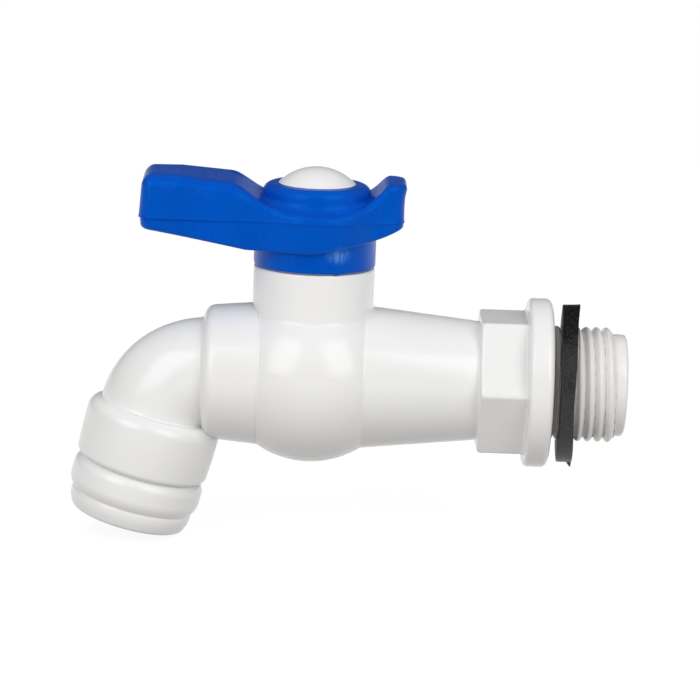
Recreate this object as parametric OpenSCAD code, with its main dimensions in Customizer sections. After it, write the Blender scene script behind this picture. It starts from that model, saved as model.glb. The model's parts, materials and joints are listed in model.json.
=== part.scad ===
// Hose bibb: a white plastic quarter-turn ball tap with a blue lever.
// Millimetres. The inlet axis is X and the stem axis is parallel to Z.
// The origin is on the inlet axis, at the outer face of the inlet washer, where the wall would be.
// +X runs along the thread into the wall, the spout points to -X, and the lever turns about the stem.

/* [Inlet] */
// Major diameter of the parallel pipe thread
thread_d = 20.955; // [19.5:0.005:21.6]
// Length of thread that shows beyond the washer
thread_len = 6.3; // [4:0.1:12]
// Diameter of the thread where the washer grips it
grip_d = 20.4; // [19.9:0.1:20.7]
// Diameter of the plain end in front of the thread
pilot_d = 18.6; // [17.6:0.1:19.4]
// Length of the plain end
pilot_len = 2.5; // [1:0.1:4]
// Radius of the plain end's outer edge
pilot_round = 0.7; // [0.2:0.1:1.2]
// Diameter of the water way through the inlet
inlet_bore_d = 15; // [13:0.1:15.6]

/* [Inlet washer] */
// Outer diameter of the rubber washer
washer_d = 28.7; // [26:0.1:32]
// Thickness of the washer
washer_t = 3.1; // [2:0.1:5]
// Gap between the flange and the washer
washer_gap = 1.8; // [0.5:0.1:4]

/* [Flange and hexagon] */
// Diameter of the flange
flange_d = 30.8; // [29:0.1:34]
// Thickness of the flange
flange_t = 4.4; // [3:0.1:7]
// Radius of the flange's two edges
flange_round = 1.2; // [0.4:0.1:1.4]
// Width of the hexagon across its flats
hex_af = 24; // [22.5:0.1:26]
// Length of the hexagon
hex_len = 8.6; // [5:0.1:12]

/* [Barrel] */
// Length of the tapered barrel
barrel_len = 20.8; // [15:0.1:30]
// Diameter of the barrel at the hexagon
barrel_small_d = 22; // [20:0.1:22.4]
// Diameter of the barrel and of the spout's collar at the bulge
barrel_large_d = 26; // [25.6:0.1:28]

/* [Bulge] */
// Largest diameter of the bulge around the ball
bulge_d = 31.7; // [30:0.1:34]
// Half of the bulge's length
bulge_half = 9.7; // [9.5:0.1:12]

/* [Tower] */
// Diameter of the tower around the stem
tower_d = 21.8; // [21:0.1:24]
// Height of the tower's shoulder above the inlet axis
tower_z = 20.3; // [19:0.1:23]
// Height of the neck above the shoulder
neck_h = 3.7; // [3:0.1:4.4]
// Diameter of the neck inside the lever's skirt
neck_d = 19.8; // [19.5:0.1:20]
// Depth of the notch that stops the lever
notch_depth = 0.9; // [0.6:0.1:1]
// Thickness of the wall between the ball's chamber and the well
well_wall = 2.4; // [1.6:0.1:3.4]
// Diameter of the well for the gland nut
well_d = 16; // [15.4:0.1:16.4]
// Radius of the blend at the top edge of the tower
tower_round = 0.4; // [0.1:0.1:0.5]

/* [Ball and seats] */
// Diameter of the ball
ball_d = 16.4; // [15.6:0.1:16.8]
// Diameter of the hole through the ball
port_d = 10; // [8:0.1:10.4]
// Diameter of the chamber that holds the ball and its seats
chamber_d = 18.4; // [18:0.1:18.8]
// Diameter of the hole through each seat
seat_bore_d = 10.4; // [9.6:0.1:11]
// Distance from the stem axis to the near face of each seat
seat_near = 4.8; // [4.4:0.1:5.2]
// Distance from the stem axis to the far face of each seat
seat_far = 8; // [7.6:0.1:8.2]
// Thickness of the rubber rings behind the seats
seat_ring_t = 1.4; // [1:0.1:1.6]
// Length of the screwed carrier that holds the outlet seat
carrier_len = 5; // [3:0.1:5.2]
// Diameter of the water way through the carrier
carrier_bore_d = 12.8; // [10:0.1:14]
// Width of the two driver slots in the carrier
carrier_slot_w = 2; // [1:0.1:3]
// Depth of the driver slots
carrier_slot_depth = 1.2; // [0.5:0.1:2]

/* [Stem] */
// Diameter of the stem's shaft
stem_d = 10; // [9.2:0.1:10.4]
// Diameter of the stem's foot below the collar
stem_foot_d = 9.2; // [8:0.1:9.6]
// Gap between the ball and the stem's foot
stem_foot_gap = 0.4; // [0.2:0.1:0.8]
// Thickness of the blade that turns the ball
blade_t = 3.2; // [2.4:0.1:4]
// Length of the blade across the ball
blade_len = 8.6; // [6:0.1:9]
// Thickness of the ball left between its hole and the blade
blade_cover = 1.3; // [0.8:0.1:1.8]
// Diameter of the stem's collar
stem_collar_d = 14.8; // [12.5:0.1:15]
// Thickness of the stem's collar
stem_collar_t = 2; // [1.2:0.1:3]
// Thickness of the low-friction washer under the collar
thrust_t = 0.6; // [0.4:0.1:1]
// Width of the square that drives the lever, across its flats
square_af = 7; // [5.6:0.1:7]
// Height of the square
square_h = 4.7; // [3:0.1:4.9]
// Thickness of the stem's two rubber rings
stem_ring_t = 1.6; // [1.2:0.1:1.8]
// Depth of the upper rubber ring below the gland nut's top
stem_ring_drop = 5.2; // [4:0.1:6]
// Distance between the two rubber rings
stem_ring_pitch = 3.4; // [2.6:0.1:4]

/* [Gland nut] */
// Width of the gland nut's hexagon across its flats
gland_af = 15.4; // [14:0.1:16]
// Thickness of the gland nut's hexagon
gland_head_t = 2; // [1.2:0.1:2]
// Thickness of the rubber ring around the gland nut
gland_ring_t = 1.4; // [1:0.1:1.6]
// Depth of that ring's centre below the gland nut's hexagon
gland_ring_drop = 1.6; // [1.2:0.1:3]

/* [Spout] */
// Length of the spout's collar
collar_len = 9.9; // [8:0.1:13]
// Diameter of the collar at its rounded end
collar_end_d = 24.6; // [24.6:0.1:26]
// Radius of the collar's rounded end
collar_round = 2.2; // [0.5:0.1:2.2]
// Length of the body's tail inside the collar
tail_len = 5.5; // [5:0.1:6]
// Diameter of the body's tail
tail_d = 22; // [21:0.1:22.4]
// Thickness of the rubber ring on the tail
spout_seal_t = 1; // [0.6:0.1:1.2]
// Diameter of the bent tube
tube_d = 19.8; // [18.6:0.1:21]
// Diameter of the water way through the nozzle
spout_bore_d = 16; // [14:0.1:16.6]
// Step on the radius where the bend's narrower water way ends
elbow_step = 0.2; // [0.1:0.1:0.8]
// Length of straight tube before the bend, from the collar's start
bend_start = 8.4; // [7.6:0.1:12]
// Radius of the bend along the tube's middle
bend_r = 9.95; // [9.95:0.05:16]
// Angle of the bend
bend_deg = 75; // [45:1:90]

/* [Nozzle] */
// Radius of the shoulder where the nozzle widens
shoulder_round = 2; // [0.5:0.1:2.2]
// Diameter of the wide band
band_d = 24.2; // [23.8:0.1:27]
// Length of the wide band with its shoulder
band_len = 10.1; // [6:0.1:14]
// Diameter at the bottom of the two grooves
groove_d = 21.8; // [21:0.1:22.4]
// Diameter of the rounded ring
ring_d = 23.6; // [23:0.1:26]
// Length of the rounded ring
ring_len = 7; // [5:0.1:10]
// Diameter of the lip at the mouth
lip_d = 21; // [19.4:0.1:21.6]
// Length of the lip
lip_len = 4.1; // [2:0.1:7]

/* [Lever] */
// Outer diameter of the skirt that covers the neck
skirt_d = 22.3; // [22:0.1:24.4]
// Gap between the gland nut's top and the ceiling of the skirt's hollow
hollow_gap = 0.3; // [0.1:0.1:1]
// Diameter of the lever around the hub
hub_plan_d = 24.8; // [24:0.1:28]
// Distance from the stem axis to the end of the arm
arm_reach = 32.4; // [26:0.1:45]
// Width of the arm's end
arm_w = 16; // [11:0.1:19]
// Radius of the arm's upright corners
arm_corner_r = 2.6; // [1:0.1:5]
// Height of the arm's top above the skirt's lower edge
arm_top_h = 16.1; // [14.9:0.1:18.4]
// Distance from the stem axis to where the arm's top starts to fall
arm_fall = 20; // [16:0.1:24]
// Distance from the stem axis to where that fall ends
arm_fall_end = 3.5; // [0:0.1:8]
// Slant of the arm's end face, from its foot to its top
arm_end_slant = 1.2; // [0:0.1:3]
// Height of the saddle around the hub above the skirt's lower edge
saddle_h = 10.4; // [10:0.1:11.4]
// Distance from the stem axis to the end of the upturned tail
tail_reach = 16.1; // [14.5:0.1:20]
// Length of the flat top of the upturned tail
tail_flat = 3.2; // [1:0.1:5]
// Width of the upturned tail
tail_w = 13; // [9:0.1:19]
// Height of the upturned tail above the skirt's lower edge
tail_top_h = 16; // [13.4:0.1:17.4]
// Height of the arm's underside at its end above the skirt's lower edge
arm_under_h = 6.6; // [6:0.1:8.4]
// Height of the underside around the hub above the skirt's lower edge
hub_under_h = 3.6; // [3:0.1:4.4]
// Distance from the stem axis to where the underside starts to rise to the tail
hub_under_flat = 4; // [1:0.1:8]
// Height that the underside has gained at the edge of the hub
hub_under_rise = 1.4; // [0.5:0.1:3]
// Height of the underside at the tail's end above the skirt's lower edge
tail_under_h = 8; // [6.9:0.1:9.4]
// Diameter of the ring on top of the hub
hub_ring_d = 19.5; // [17.5:0.1:21]
// Height of that ring's top above the skirt's lower edge
hub_ring_h = 14.7; // [14:0.1:15.4]
// Radius of that ring's edge
hub_ring_round = 1.6; // [0.5:0.1:2]
// Depth of the recess under the cap
recess_depth = 2.7; // [2.5:0.1:3]
// Width of the lug that meets the stops, in degrees
lug_deg = 40; // [25:1:60]

/* [Travel] */
// Angle that the lever turns from open to shut
travel_deg = 90; // [60:1:110]
// Angle left free at each stop
stop_play_deg = 1; // [0.5:0.1:3]

/* [Cap] */
// Diameter of the domed cap
cap_d = 14; // [13:0.1:16]
// Height of the dome above the ring
cap_h = 3; // [2:0.1:5]
// Thickness of the dome's wall
cap_wall = 1.2; // [0.8:0.1:1.4]
// Outer diameter of the cap's plug
plug_d = 12; // [11.4:0.1:12.4]
// Length of the cap's plug
plug_len = 1.8; // [1:0.1:2.2]

/* [Screw] */
// Diameter of the screw's shank
screw_d = 3.9; // [3:0.1:4.2]
// Length of the screw under its head
screw_len = 11.5; // [8:0.1:12]
// Diameter of the screw's head
screw_head_d = 7.4; // [6:0.1:8]
// Height of the screw's head
screw_head_h = 1.8; // [1.2:0.1:2]
// Outer diameter of the plain washer
screw_washer_d = 9.4; // [8:0.1:9.8]
// Thickness of the plain washer
screw_washer_t = 0.6; // [0.4:0.1:1]

/* [Clearances] */
// Clearance all round between parts that turn or slide in each other
run_gap = 0.08; // [0.05:0.01:0.1]
// Clearance all round between fixed parts that fit together
fit_gap = 0.05; // [0.03:0.01:0.1]
// Clearance between flat faces that slide on each other
face_gap = 0.05; // [0.03:0.01:0.2]
// Gap under the lever's skirt
skirt_gap = 0.3; // [0.2:0.05:0.6]

/* [Hidden] */
$fn = 96;

// How far a cut runs past the face that it goes through
past = 1;
// Direction of the lever's stop lug from the stem when the tap is open
stop_turn = 135;
// Steps along an arc of an outline
arc_steps = 12;
// How far the bend runs on into the collar and the nozzle, in degrees
bend_past = 3;

flange_x = -washer_t - washer_gap;
hex_x = flange_x - flange_t;
barrel_x = hex_x - hex_len;
stem_x = barrel_x - barrel_len - bulge_half;
collar_x = stem_x - bulge_half;
tail_x = collar_x - tail_len;
thread_end_x = thread_len;
pilot_end_x = thread_end_x + pilot_len;
nozzle_len = band_len + ring_len + lip_len;

ring_far = seat_far + seat_ring_t + 2 * fit_gap;
carrier_near = ring_far;
carrier_far = carrier_near + carrier_len;
seat_d = chamber_d - 2 * fit_gap;

neck_top_z = tower_z + neck_h;
skirt_z = tower_z + skirt_gap;
skirt_bore_d = neck_d + 4 * run_gap;
well_floor_z = chamber_d / 2 + well_wall;
stem_foot_z = ball_d / 2 + stem_foot_gap;
blade_z = port_d / 2 + blade_cover;
collar_low_z = well_floor_z + thrust_t + face_gap;
collar_top_z = collar_low_z + stem_collar_t;
gland_low_z = collar_top_z + face_gap;
gland_d = well_d - 2 * fit_gap;
gland_bore_d = stem_d + 2 * run_gap;
gland_top_z = neck_top_z + gland_head_t;
square_z = gland_top_z + face_gap;
square_top_z = square_z + square_h;
socket_top_z = square_top_z + run_gap;
hollow_z = gland_top_z + hollow_gap;
hub_ring_z = skirt_z + hub_ring_h;
stem_ring_high_z = gland_top_z - stem_ring_drop;
stem_ring_low_z = stem_ring_high_z - stem_ring_pitch;
recess_z = hub_ring_z - recess_depth;
stop_deg = travel_deg + lug_deg + 2 * stop_play_deg;
notch_d = neck_d - 2 * notch_depth;
lug_d = notch_d + 4 * run_gap;
screw_hole_d = screw_d + 2 * fit_gap;
head_z = recess_z + screw_washer_t;

// Points along an arc about a centre, from one angle to another
function arc(cx, cy, r, from, to) = [
    for (i = [0 : arc_steps])
        let (a = from + (to - from) * i / arc_steps)
            [cx + r * cos(a), cy + r * sin(a)]
];

// An even S between 0 and 1
function ease(t) = t * t * (3 - 2 * t);

// Turns a profile of [radius, x] points about the inlet axis
module about_x(points) {
    rotate([0, 90, 0])
        rotate_extrude()
            polygon(points);
}

// A ring along Z of one rubber section, about the origin
module rubber_ring(middle_r, section_d) {
    rotate_extrude()
        translate([middle_r, 0])
            circle(d = section_d);
}

// A flat ring along Z, standing on the origin
module washer(outer_d, inner_d, thick) {
    difference() {
        cylinder(d = outer_d, h = thick);
        translate([0, 0, -past])
            cylinder(d = inner_d, h = thick + 2 * past);
    }
}

// A straight bar of round section along X, from one x to another
module rod_x(d, from, to) {
    translate([from, 0, 0])
        rotate([0, 90, 0])
            cylinder(d = d, h = to - from);
}

// Part of a ring about Z, centred on the +X direction
module ring_part(inner_d, outer_d, height, angle) {
    rotate([0, 0, -angle / 2])
        rotate_extrude(angle = angle)
            translate([inner_d / 2, 0])
                square([(outer_d - inner_d) / 2, height]);
}

function bulge_points() =
    let (
        rise = (bulge_d - barrel_large_d) / 2,
        r = (bulge_half * bulge_half + rise * rise) / (2 * rise),
        half = asin(bulge_half / r)
    )
    arc(bulge_d / 2 - r, stem_x, r, half, -half);

function flange_points() = concat(
    [[0, hex_x]],
    arc(flange_d / 2 - flange_round, hex_x + flange_round, flange_round, -90, 0),
    arc(flange_d / 2 - flange_round, flange_x - flange_round, flange_round, 0, 90),
    [[0, flange_x]]
);

module body_outside() {
    about_x(concat(
        [[0, stem_x + bulge_half], [barrel_large_d / 2, stem_x + bulge_half]],
        [[barrel_small_d / 2, barrel_x], [barrel_small_d / 2, barrel_x + past]],
        [[0, barrel_x + past]]
    ));
    about_x(concat([[0, stem_x + bulge_half]], bulge_points(), [[0, collar_x]]));
    rod_x(tail_d, tail_x, stem_x);
    translate([barrel_x, 0, 0])
        rotate([0, 90, 0])
            rotate([0, 0, 30])
                cylinder(d = hex_af / cos(30), h = hex_len + past, $fn = 6);
    about_x(flange_points());
    rod_x(grip_d, flange_x - past, 0);
    rod_x(thread_d, 0, thread_end_x);
    about_x(concat(
        [[0, -past], [pilot_d / 2, -past]],
        arc(pilot_d / 2 - pilot_round, pilot_end_x - pilot_round, pilot_round, 0, 90),
        [[0, pilot_end_x]]
    ));
    translate([stem_x, 0, 0])
        tower();
}

module tower() {
    rotate_extrude()
        polygon(concat(
            [[0, 0], [tower_d / 2, 0]],
            arc(tower_d / 2 - tower_round, tower_z - tower_round, tower_round, 0, 90),
            [[0, tower_z]]
        ));
    difference() {
        cylinder(d = neck_d, h = neck_top_z);
        translate([0, 0, tower_z])
            rotate([0, 0, stop_turn - travel_deg / 2])
                ring_part(notch_d, neck_d + past, neck_h + past, stop_deg);
    }
}

module body() {
    color("white")
        difference() {
            body_outside();
            rod_x(inlet_bore_d, stem_x, pilot_end_x + past);
            rod_x(chamber_d, tail_x - past, stem_x + ring_far);
            translate([tail_x + tail_len / 2, 0, 0])
                rotate([0, 90, 0])
                    rubber_ring_groove(tail_d, spout_seal_t);
            translate([stem_x, 0, 0]) {
                translate([0, 0, stem_foot_z / 2])
                    cylinder(d = stem_foot_d + 2 * run_gap, h = well_floor_z);
                translate([0, 0, well_floor_z])
                    cylinder(d = well_d, h = neck_top_z);
            }
        }
}

// The square groove that a rubber ring sits in, cut in from a shaft's surface
module rubber_ring_groove(shaft_d, section_d) {
    translate([0, 0, -section_d / 2 - fit_gap])
        washer(shaft_d + 2 * past, shaft_d - 2 * section_d, section_d + 2 * fit_gap);
}

// The rubber ring in such a groove, just inside the shaft's surface
module seal_ring(shaft_d, section_d) {
    rubber_ring((shaft_d - section_d) / 2, section_d - fit_gap);
}

function nozzle_points() =
    let (
        ring_start = band_len,
        lip_start = ring_start + ring_len,
        side_r = (band_d - groove_d) / 2,
        ring_side = (ring_d - groove_d) / 2,
        ring_turn = acos(1 / 2)
    )
    concat(
        arc(band_d / 2 - shoulder_round, shoulder_round, shoulder_round, -90, 0),
        arc(band_d / 2 - side_r, ring_start - side_r, side_r, 0, 90),
        arc(ring_d / 2 - 2 * ring_side, ring_start + 2 * ring_side, 2 * ring_side, -ring_turn, 0),
        arc(ring_d / 2 - ring_side, lip_start - ring_side, ring_side, 0, 90),
        [[lip_d / 2 + (groove_d - lip_d) / 4, lip_start + lip_len / 4]],
        [[lip_d / 2, nozzle_len]]
    );

// The bend between the collar and the nozzle, for the tube or for its water way
module bend(d) {
    translate([collar_x - bend_start, 0, -bend_r])
        rotate([90, 0, 0])
            rotate([0, 0, 90 - bend_past])
                rotate_extrude(angle = bend_deg + 2 * bend_past)
                    translate([bend_r, 0])
                        circle(d = d);
}

// Places its children at the end of the bend, with +Z out of the mouth
module at_nozzle() {
    translate([collar_x - bend_start, 0, -bend_r])
        rotate([0, -bend_deg, 0])
            translate([0, 0, bend_r])
                rotate([0, -90, 0])
                    children();
}

module spout_outside() {
    bend(tube_d);
    at_nozzle()
        rotate_extrude()
            polygon(concat([[0, 0]], nozzle_points(), [[0, nozzle_len]]));
    about_x(concat(
        [[0, collar_x], [barrel_large_d / 2, collar_x]],
        arc(
            collar_end_d / 2 - collar_round, collar_x - collar_len + collar_round,
            collar_round, 0, -90
        ),
        [[0, collar_x - collar_len]]
    ));
}

// The seam's collar has a shallow seat for the tower's side, which keeps the spout from turning
module spout() {
    color("white")
        difference() {
            spout_outside();
            translate([stem_x, 0, 0])
                cylinder(d = tower_d + 2 * fit_gap, h = tower_z);
            rod_x(tail_d + 2 * fit_gap, tail_x - fit_gap, collar_x + past);
            rod_x(spout_bore_d, collar_x - bend_start, tail_x);
            bend(spout_bore_d - 2 * elbow_step);
            at_nozzle()
                cylinder(d = spout_bore_d, h = nozzle_len + past);
        }
}

module spout_seal() {
    color("dimgray")
        translate([tail_x + tail_len / 2, 0, 0])
            rotate([0, 90, 0])
                seal_ring(tail_d, spout_seal_t);
}

// A seat for the ball on one side, for direction 1 or -1 along X
module seat(side) {
    color("ivory")
        translate([stem_x, 0, 0])
            rotate([0, side * 90, 0])
                difference() {
                    translate([0, 0, seat_near])
                        washer(seat_d, seat_bore_d, seat_far - seat_near);
                    sphere(d = ball_d + 4 * run_gap);
                }
}

module seat_ring(side) {
    color("dimgray")
        translate([stem_x + side * (seat_far + fit_gap + seat_ring_t / 2), 0, 0])
            rotate([0, 90, 0])
                rubber_ring(chamber_d / 2 - fit_gap - seat_ring_t / 2, seat_ring_t);
}

module seat_inlet() { seat(1); }

module seat_outlet() { seat(-1); }

module seat_ring_inlet() { seat_ring(1); }

module seat_ring_outlet() { seat_ring(-1); }

module seat_carrier() {
    color("lightgray")
        translate([stem_x, 0, 0])
            rotate([0, -90, 0])
                difference() {
                    translate([0, 0, carrier_near])
                        washer(seat_d, carrier_bore_d, carrier_len);
                    translate([-chamber_d, -carrier_slot_w / 2, carrier_far - carrier_slot_depth])
                        cube([2 * chamber_d, carrier_slot_w, carrier_slot_depth + past]);
                }
}

module ball() {
    slot_w = blade_t + 2 * run_gap;
    color("gainsboro")
        translate([stem_x, 0, 0])
            difference() {
                sphere(d = ball_d);
                rod_x(port_d, -ball_d, ball_d);
                translate([-slot_w / 2, -ball_d, blade_z - 2 * face_gap])
                    cube([slot_w, 2 * ball_d, ball_d]);
            }
}

module stem() {
    ring_heights = [stem_ring_low_z, stem_ring_high_z];
    color("whitesmoke")
        translate([stem_x, 0, 0])
            difference() {
                union() {
                    intersection() {
                        translate([-blade_t / 2, -blade_len / 2, blade_z])
                            cube([blade_t, blade_len, collar_low_z - blade_z]);
                        cylinder(d = stem_foot_d, h = collar_low_z);
                    }
                    translate([0, 0, stem_foot_z])
                        cylinder(d = stem_foot_d, h = collar_low_z - stem_foot_z);
                    translate([0, 0, collar_low_z])
                        cylinder(d = stem_collar_d, h = stem_collar_t);
                    translate([0, 0, collar_low_z])
                        cylinder(d = stem_d, h = square_z - collar_low_z);
                    translate([-square_af / 2, -square_af / 2, square_z])
                        cube([square_af, square_af, square_h]);
                }
                for (z = ring_heights)
                    translate([0, 0, z])
                        rubber_ring_groove(stem_d, stem_ring_t);
                translate([0, 0, head_z - screw_len - past])
                    cylinder(d = screw_hole_d, h = square_top_z);
            }
}

module stem_ring(z) {
    color("dimgray")
        translate([stem_x, 0, z])
            seal_ring(stem_d, stem_ring_t);
}

module stem_ring_lower() { stem_ring(stem_ring_low_z); }

module stem_ring_upper() { stem_ring(stem_ring_high_z); }

module thrust_washer() {
    color("ivory")
        translate([stem_x, 0, well_floor_z])
            washer(well_d - 2 * fit_gap, stem_foot_d + 6 * run_gap, thrust_t);
}

module gland_nut() {
    color("whitesmoke")
        translate([stem_x, 0, 0])
            difference() {
                union() {
                    translate([0, 0, gland_low_z])
                        cylinder(d = gland_d, h = neck_top_z - gland_low_z);
                    translate([0, 0, neck_top_z])
                        cylinder(d = gland_af / cos(30), h = gland_head_t, $fn = 6);
                }
                cylinder(d = gland_bore_d, h = gland_top_z + past);
                translate([0, 0, neck_top_z - gland_ring_drop])
                    rubber_ring_groove(gland_d, gland_ring_t);
            }
}

module gland_ring() {
    color("dimgray")
        translate([stem_x, 0, neck_top_z - gland_ring_drop])
            seal_ring(gland_d, gland_ring_t);
}

// The lever's upper edge from the side, as [x, height above the skirt's lower edge]
function lever_top_points() = concat(
    [[arm_end_slant - arm_reach, arm_top_h]],
    [
        for (i = [0 : arc_steps])
            let (t = i / arc_steps)
                [-arm_fall + (arm_fall - arm_fall_end) * t, arm_top_h - (arm_top_h - saddle_h) * ease(t)]
    ],
    [
        for (i = [0 : arc_steps])
            let (t = i / arc_steps)
                [(tail_reach - tail_flat) * t, saddle_h + (tail_top_h - saddle_h) * t * t]
    ],
    [[tail_reach, tail_top_h]]
);

// The lever's outline from the side, as [x, height above the skirt's lower edge]
module lever_side() {
    polygon(concat(
        lever_top_points(),
        [[tail_reach, tail_under_h], [hub_plan_d / 2, hub_under_h + hub_under_rise]],
        [[hub_under_flat, hub_under_h], [-hub_plan_d / 2, hub_under_h]],
        [[arm_end_slant / 2 - arm_reach, arm_under_h], [-arm_reach, arm_under_h + arm_end_slant]]
    ));
}

// One arm of the lever's outline from above, from the skirt to a rounded end
module arm_plan(x, width) {
    corner_x = sign(x) * (abs(x) - arm_corner_r);
    hull() {
        circle(d = skirt_d);
        for (side = [-1, 1])
            translate([corner_x, side * (width / 2 - arm_corner_r)])
                circle(r = arm_corner_r);
    }
}

module lever_outside() {
    half_depth = arm_w + hub_plan_d;
    translate([0, 0, skirt_z]) {
        intersection() {
            linear_extrude(arm_top_h + tail_top_h) {
                circle(d = hub_plan_d);
                arm_plan(-arm_reach, arm_w);
                arm_plan(tail_reach, tail_w);
            }
            rotate([90, 0, 0])
                translate([0, 0, -half_depth])
                    linear_extrude(2 * half_depth)
                        lever_side();
        }
        cylinder(d = skirt_d, h = saddle_h);
    }
    rotate_extrude()
        polygon(concat(
            [[0, hollow_z], [hub_ring_d / 2, hollow_z]],
            arc(hub_ring_d / 2 - hub_ring_round, hub_ring_z - hub_ring_round, hub_ring_round, 0, 90),
            [[0, hub_ring_z]]
        ));
}

module handle() {
    socket = square_af + 2 * fit_gap;
    color("mediumblue")
        translate([stem_x, 0, 0]) {
            difference() {
                lever_outside();
                translate([0, 0, skirt_z - past])
                    cylinder(d = skirt_bore_d, h = hollow_z - skirt_z + past);
                translate([-socket / 2, -socket / 2, hollow_z - past])
                    cube([socket, socket, socket_top_z - hollow_z + past]);
                cylinder(d = screw_hole_d + 2 * fit_gap, h = hub_ring_z);
                translate([0, 0, recess_z])
                    cylinder(d = plug_d + 2 * fit_gap, h = hub_ring_z);
            }
            translate([0, 0, skirt_z + skirt_gap])
                rotate([0, 0, stop_turn])
                    ring_part(lug_d, skirt_bore_d + fit_gap, hollow_z - skirt_z, lug_deg);
        }
}

module handle_screw() {
    color("silver")
        translate([stem_x, 0, head_z])
            difference() {
                union() {
                    intersection() {
                        cylinder(d = screw_head_d, h = screw_head_h);
                        translate([0, 0, screw_head_h - screw_head_d])
                            sphere(r = screw_head_d);
                    }
                    translate([0, 0, -screw_len])
                        cylinder(d = screw_d, h = screw_len + screw_head_h / 2);
                }
                for (turn = [0, 90])
                    rotate([0, 0, turn])
                        translate([-screw_head_d / 4, -screw_head_d / 16, screw_head_h / 2])
                            cube([screw_head_d / 2, screw_head_d / 8, screw_head_h]);
            }
}

module screw_washer() {
    color("silver")
        translate([stem_x, 0, recess_z])
            washer(screw_washer_d, screw_d + 4 * fit_gap, screw_washer_t);
}

module cap() {
    dome_r = (cap_d * cap_d / 4 + cap_h * cap_h) / (2 * cap_h);
    color("white")
        translate([stem_x, 0, hub_ring_z])
            difference() {
                union() {
                    intersection() {
                        translate([0, 0, cap_h - dome_r])
                            sphere(r = dome_r);
                        cylinder(d = cap_d, h = cap_h + past);
                    }
                    translate([0, 0, -plug_len])
                        cylinder(d = plug_d, h = plug_len + cap_wall / 2);
                }
                intersection() {
                    translate([0, 0, cap_h - dome_r])
                        sphere(r = dome_r - cap_wall);
                    translate([0, 0, -plug_len - past])
                        cylinder(d = plug_d - 2 * cap_wall, h = 2 * dome_r);
                }
                translate([0, 0, -plug_len - past])
                    cylinder(d = plug_d - 2 * cap_wall, h = plug_len + past);
            }
}

module inlet_washer() {
    color("dimgray")
        translate([-washer_t, 0, 0])
            rotate([0, 90, 0])
                washer(washer_d, grip_d + 2 * fit_gap, washer_t);
}

body();
spout();
spout_seal();
seat_carrier();
ball();
seat_inlet();
seat_outlet();
seat_ring_inlet();
seat_ring_outlet();
stem();
thrust_washer();
stem_ring_lower();
stem_ring_upper();
gland_nut();
gland_ring();
handle();
handle_screw();
screw_washer();
cap();
inlet_washer();
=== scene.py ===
"""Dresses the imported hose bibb: a white ball tap with a blue lever, lying free on a pale ground.

Sizes are in millimetres and become metres where a mesh is made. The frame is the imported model's:
+X runs along the thread into the wall, +Z up the stem, and the camera looks from -Y.
"""

import json
import logging
import math
from dataclasses import dataclass
from enum import Enum
from typing import Callable, Optional, Sequence

import bmesh
import bpy
from mathutils import Matrix, Vector


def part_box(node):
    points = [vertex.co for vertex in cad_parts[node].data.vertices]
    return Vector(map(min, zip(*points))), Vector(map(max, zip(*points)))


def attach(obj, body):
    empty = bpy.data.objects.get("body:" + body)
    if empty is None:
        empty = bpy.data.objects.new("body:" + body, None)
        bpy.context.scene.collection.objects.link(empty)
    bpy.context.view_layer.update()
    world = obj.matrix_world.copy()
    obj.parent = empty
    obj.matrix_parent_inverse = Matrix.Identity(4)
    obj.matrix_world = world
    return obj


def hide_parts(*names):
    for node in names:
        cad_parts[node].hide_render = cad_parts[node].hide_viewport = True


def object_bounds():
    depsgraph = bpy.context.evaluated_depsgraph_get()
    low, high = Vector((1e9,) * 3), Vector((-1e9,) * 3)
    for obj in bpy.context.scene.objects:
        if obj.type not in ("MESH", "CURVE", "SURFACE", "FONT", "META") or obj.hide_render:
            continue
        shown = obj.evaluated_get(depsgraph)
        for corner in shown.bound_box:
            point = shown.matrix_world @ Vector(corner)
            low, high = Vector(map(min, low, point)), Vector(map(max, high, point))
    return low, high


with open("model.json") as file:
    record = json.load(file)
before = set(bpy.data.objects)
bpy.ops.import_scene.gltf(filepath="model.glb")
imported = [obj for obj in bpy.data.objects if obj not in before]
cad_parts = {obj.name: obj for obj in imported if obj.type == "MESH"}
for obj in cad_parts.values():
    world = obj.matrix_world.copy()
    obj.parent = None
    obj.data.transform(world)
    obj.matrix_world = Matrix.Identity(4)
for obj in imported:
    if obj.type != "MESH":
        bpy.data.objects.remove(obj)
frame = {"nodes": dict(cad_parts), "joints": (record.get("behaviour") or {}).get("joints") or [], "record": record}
cad_low, cad_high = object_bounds()

LOG = logging.getLogger("hose_bibb")
MM = 0.001

Point = tuple[float, float]
Colour = tuple[float, float, float]
Ring = list[Vector]


class Body(Enum):
    """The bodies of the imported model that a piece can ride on."""

    HOUSING = "housing"
    LEVER = "lever"


class Slot(Enum):
    """The record's material slots."""

    WHITE = "white_plastic"
    BLUE = "blue_plastic"
    GREY = "grey_plastic"
    SEAT = "seat_plastic"
    RUBBER = "black_rubber"
    STEEL = "steel"


class Join(Enum):
    """How one solid changes another."""

    ADD = "UNION"
    CUT = "DIFFERENCE"


class End(Enum):
    """How the first or last ring of a drawn shape is closed."""

    FLAT = "flat"
    POINT = "point"
    ROUND_TRIP = "round trip"


# Numbers and curves


def ease(share: float) -> float:
    """An even S between 0 and 1, held at its ends."""
    held = min(max(share, 0.0), 1.0)
    return held * held * (3 - 2 * held)


def held(value: float, low: float, high: float) -> float:
    """A value kept between two limits."""
    return min(max(value, low), high)


def soft_max(a: float, b: float, width: float) -> float:
    """The larger of two values, rounded over where they cross.

    Args:
        a: One value.
        b: The other value.
        width: Difference within which they are blended.

    Returns:
        The blended value, never below the larger one.
    """
    near = max(width - abs(a - b), 0.0) / width
    return max(a, b) + near * near * width / 4


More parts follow.
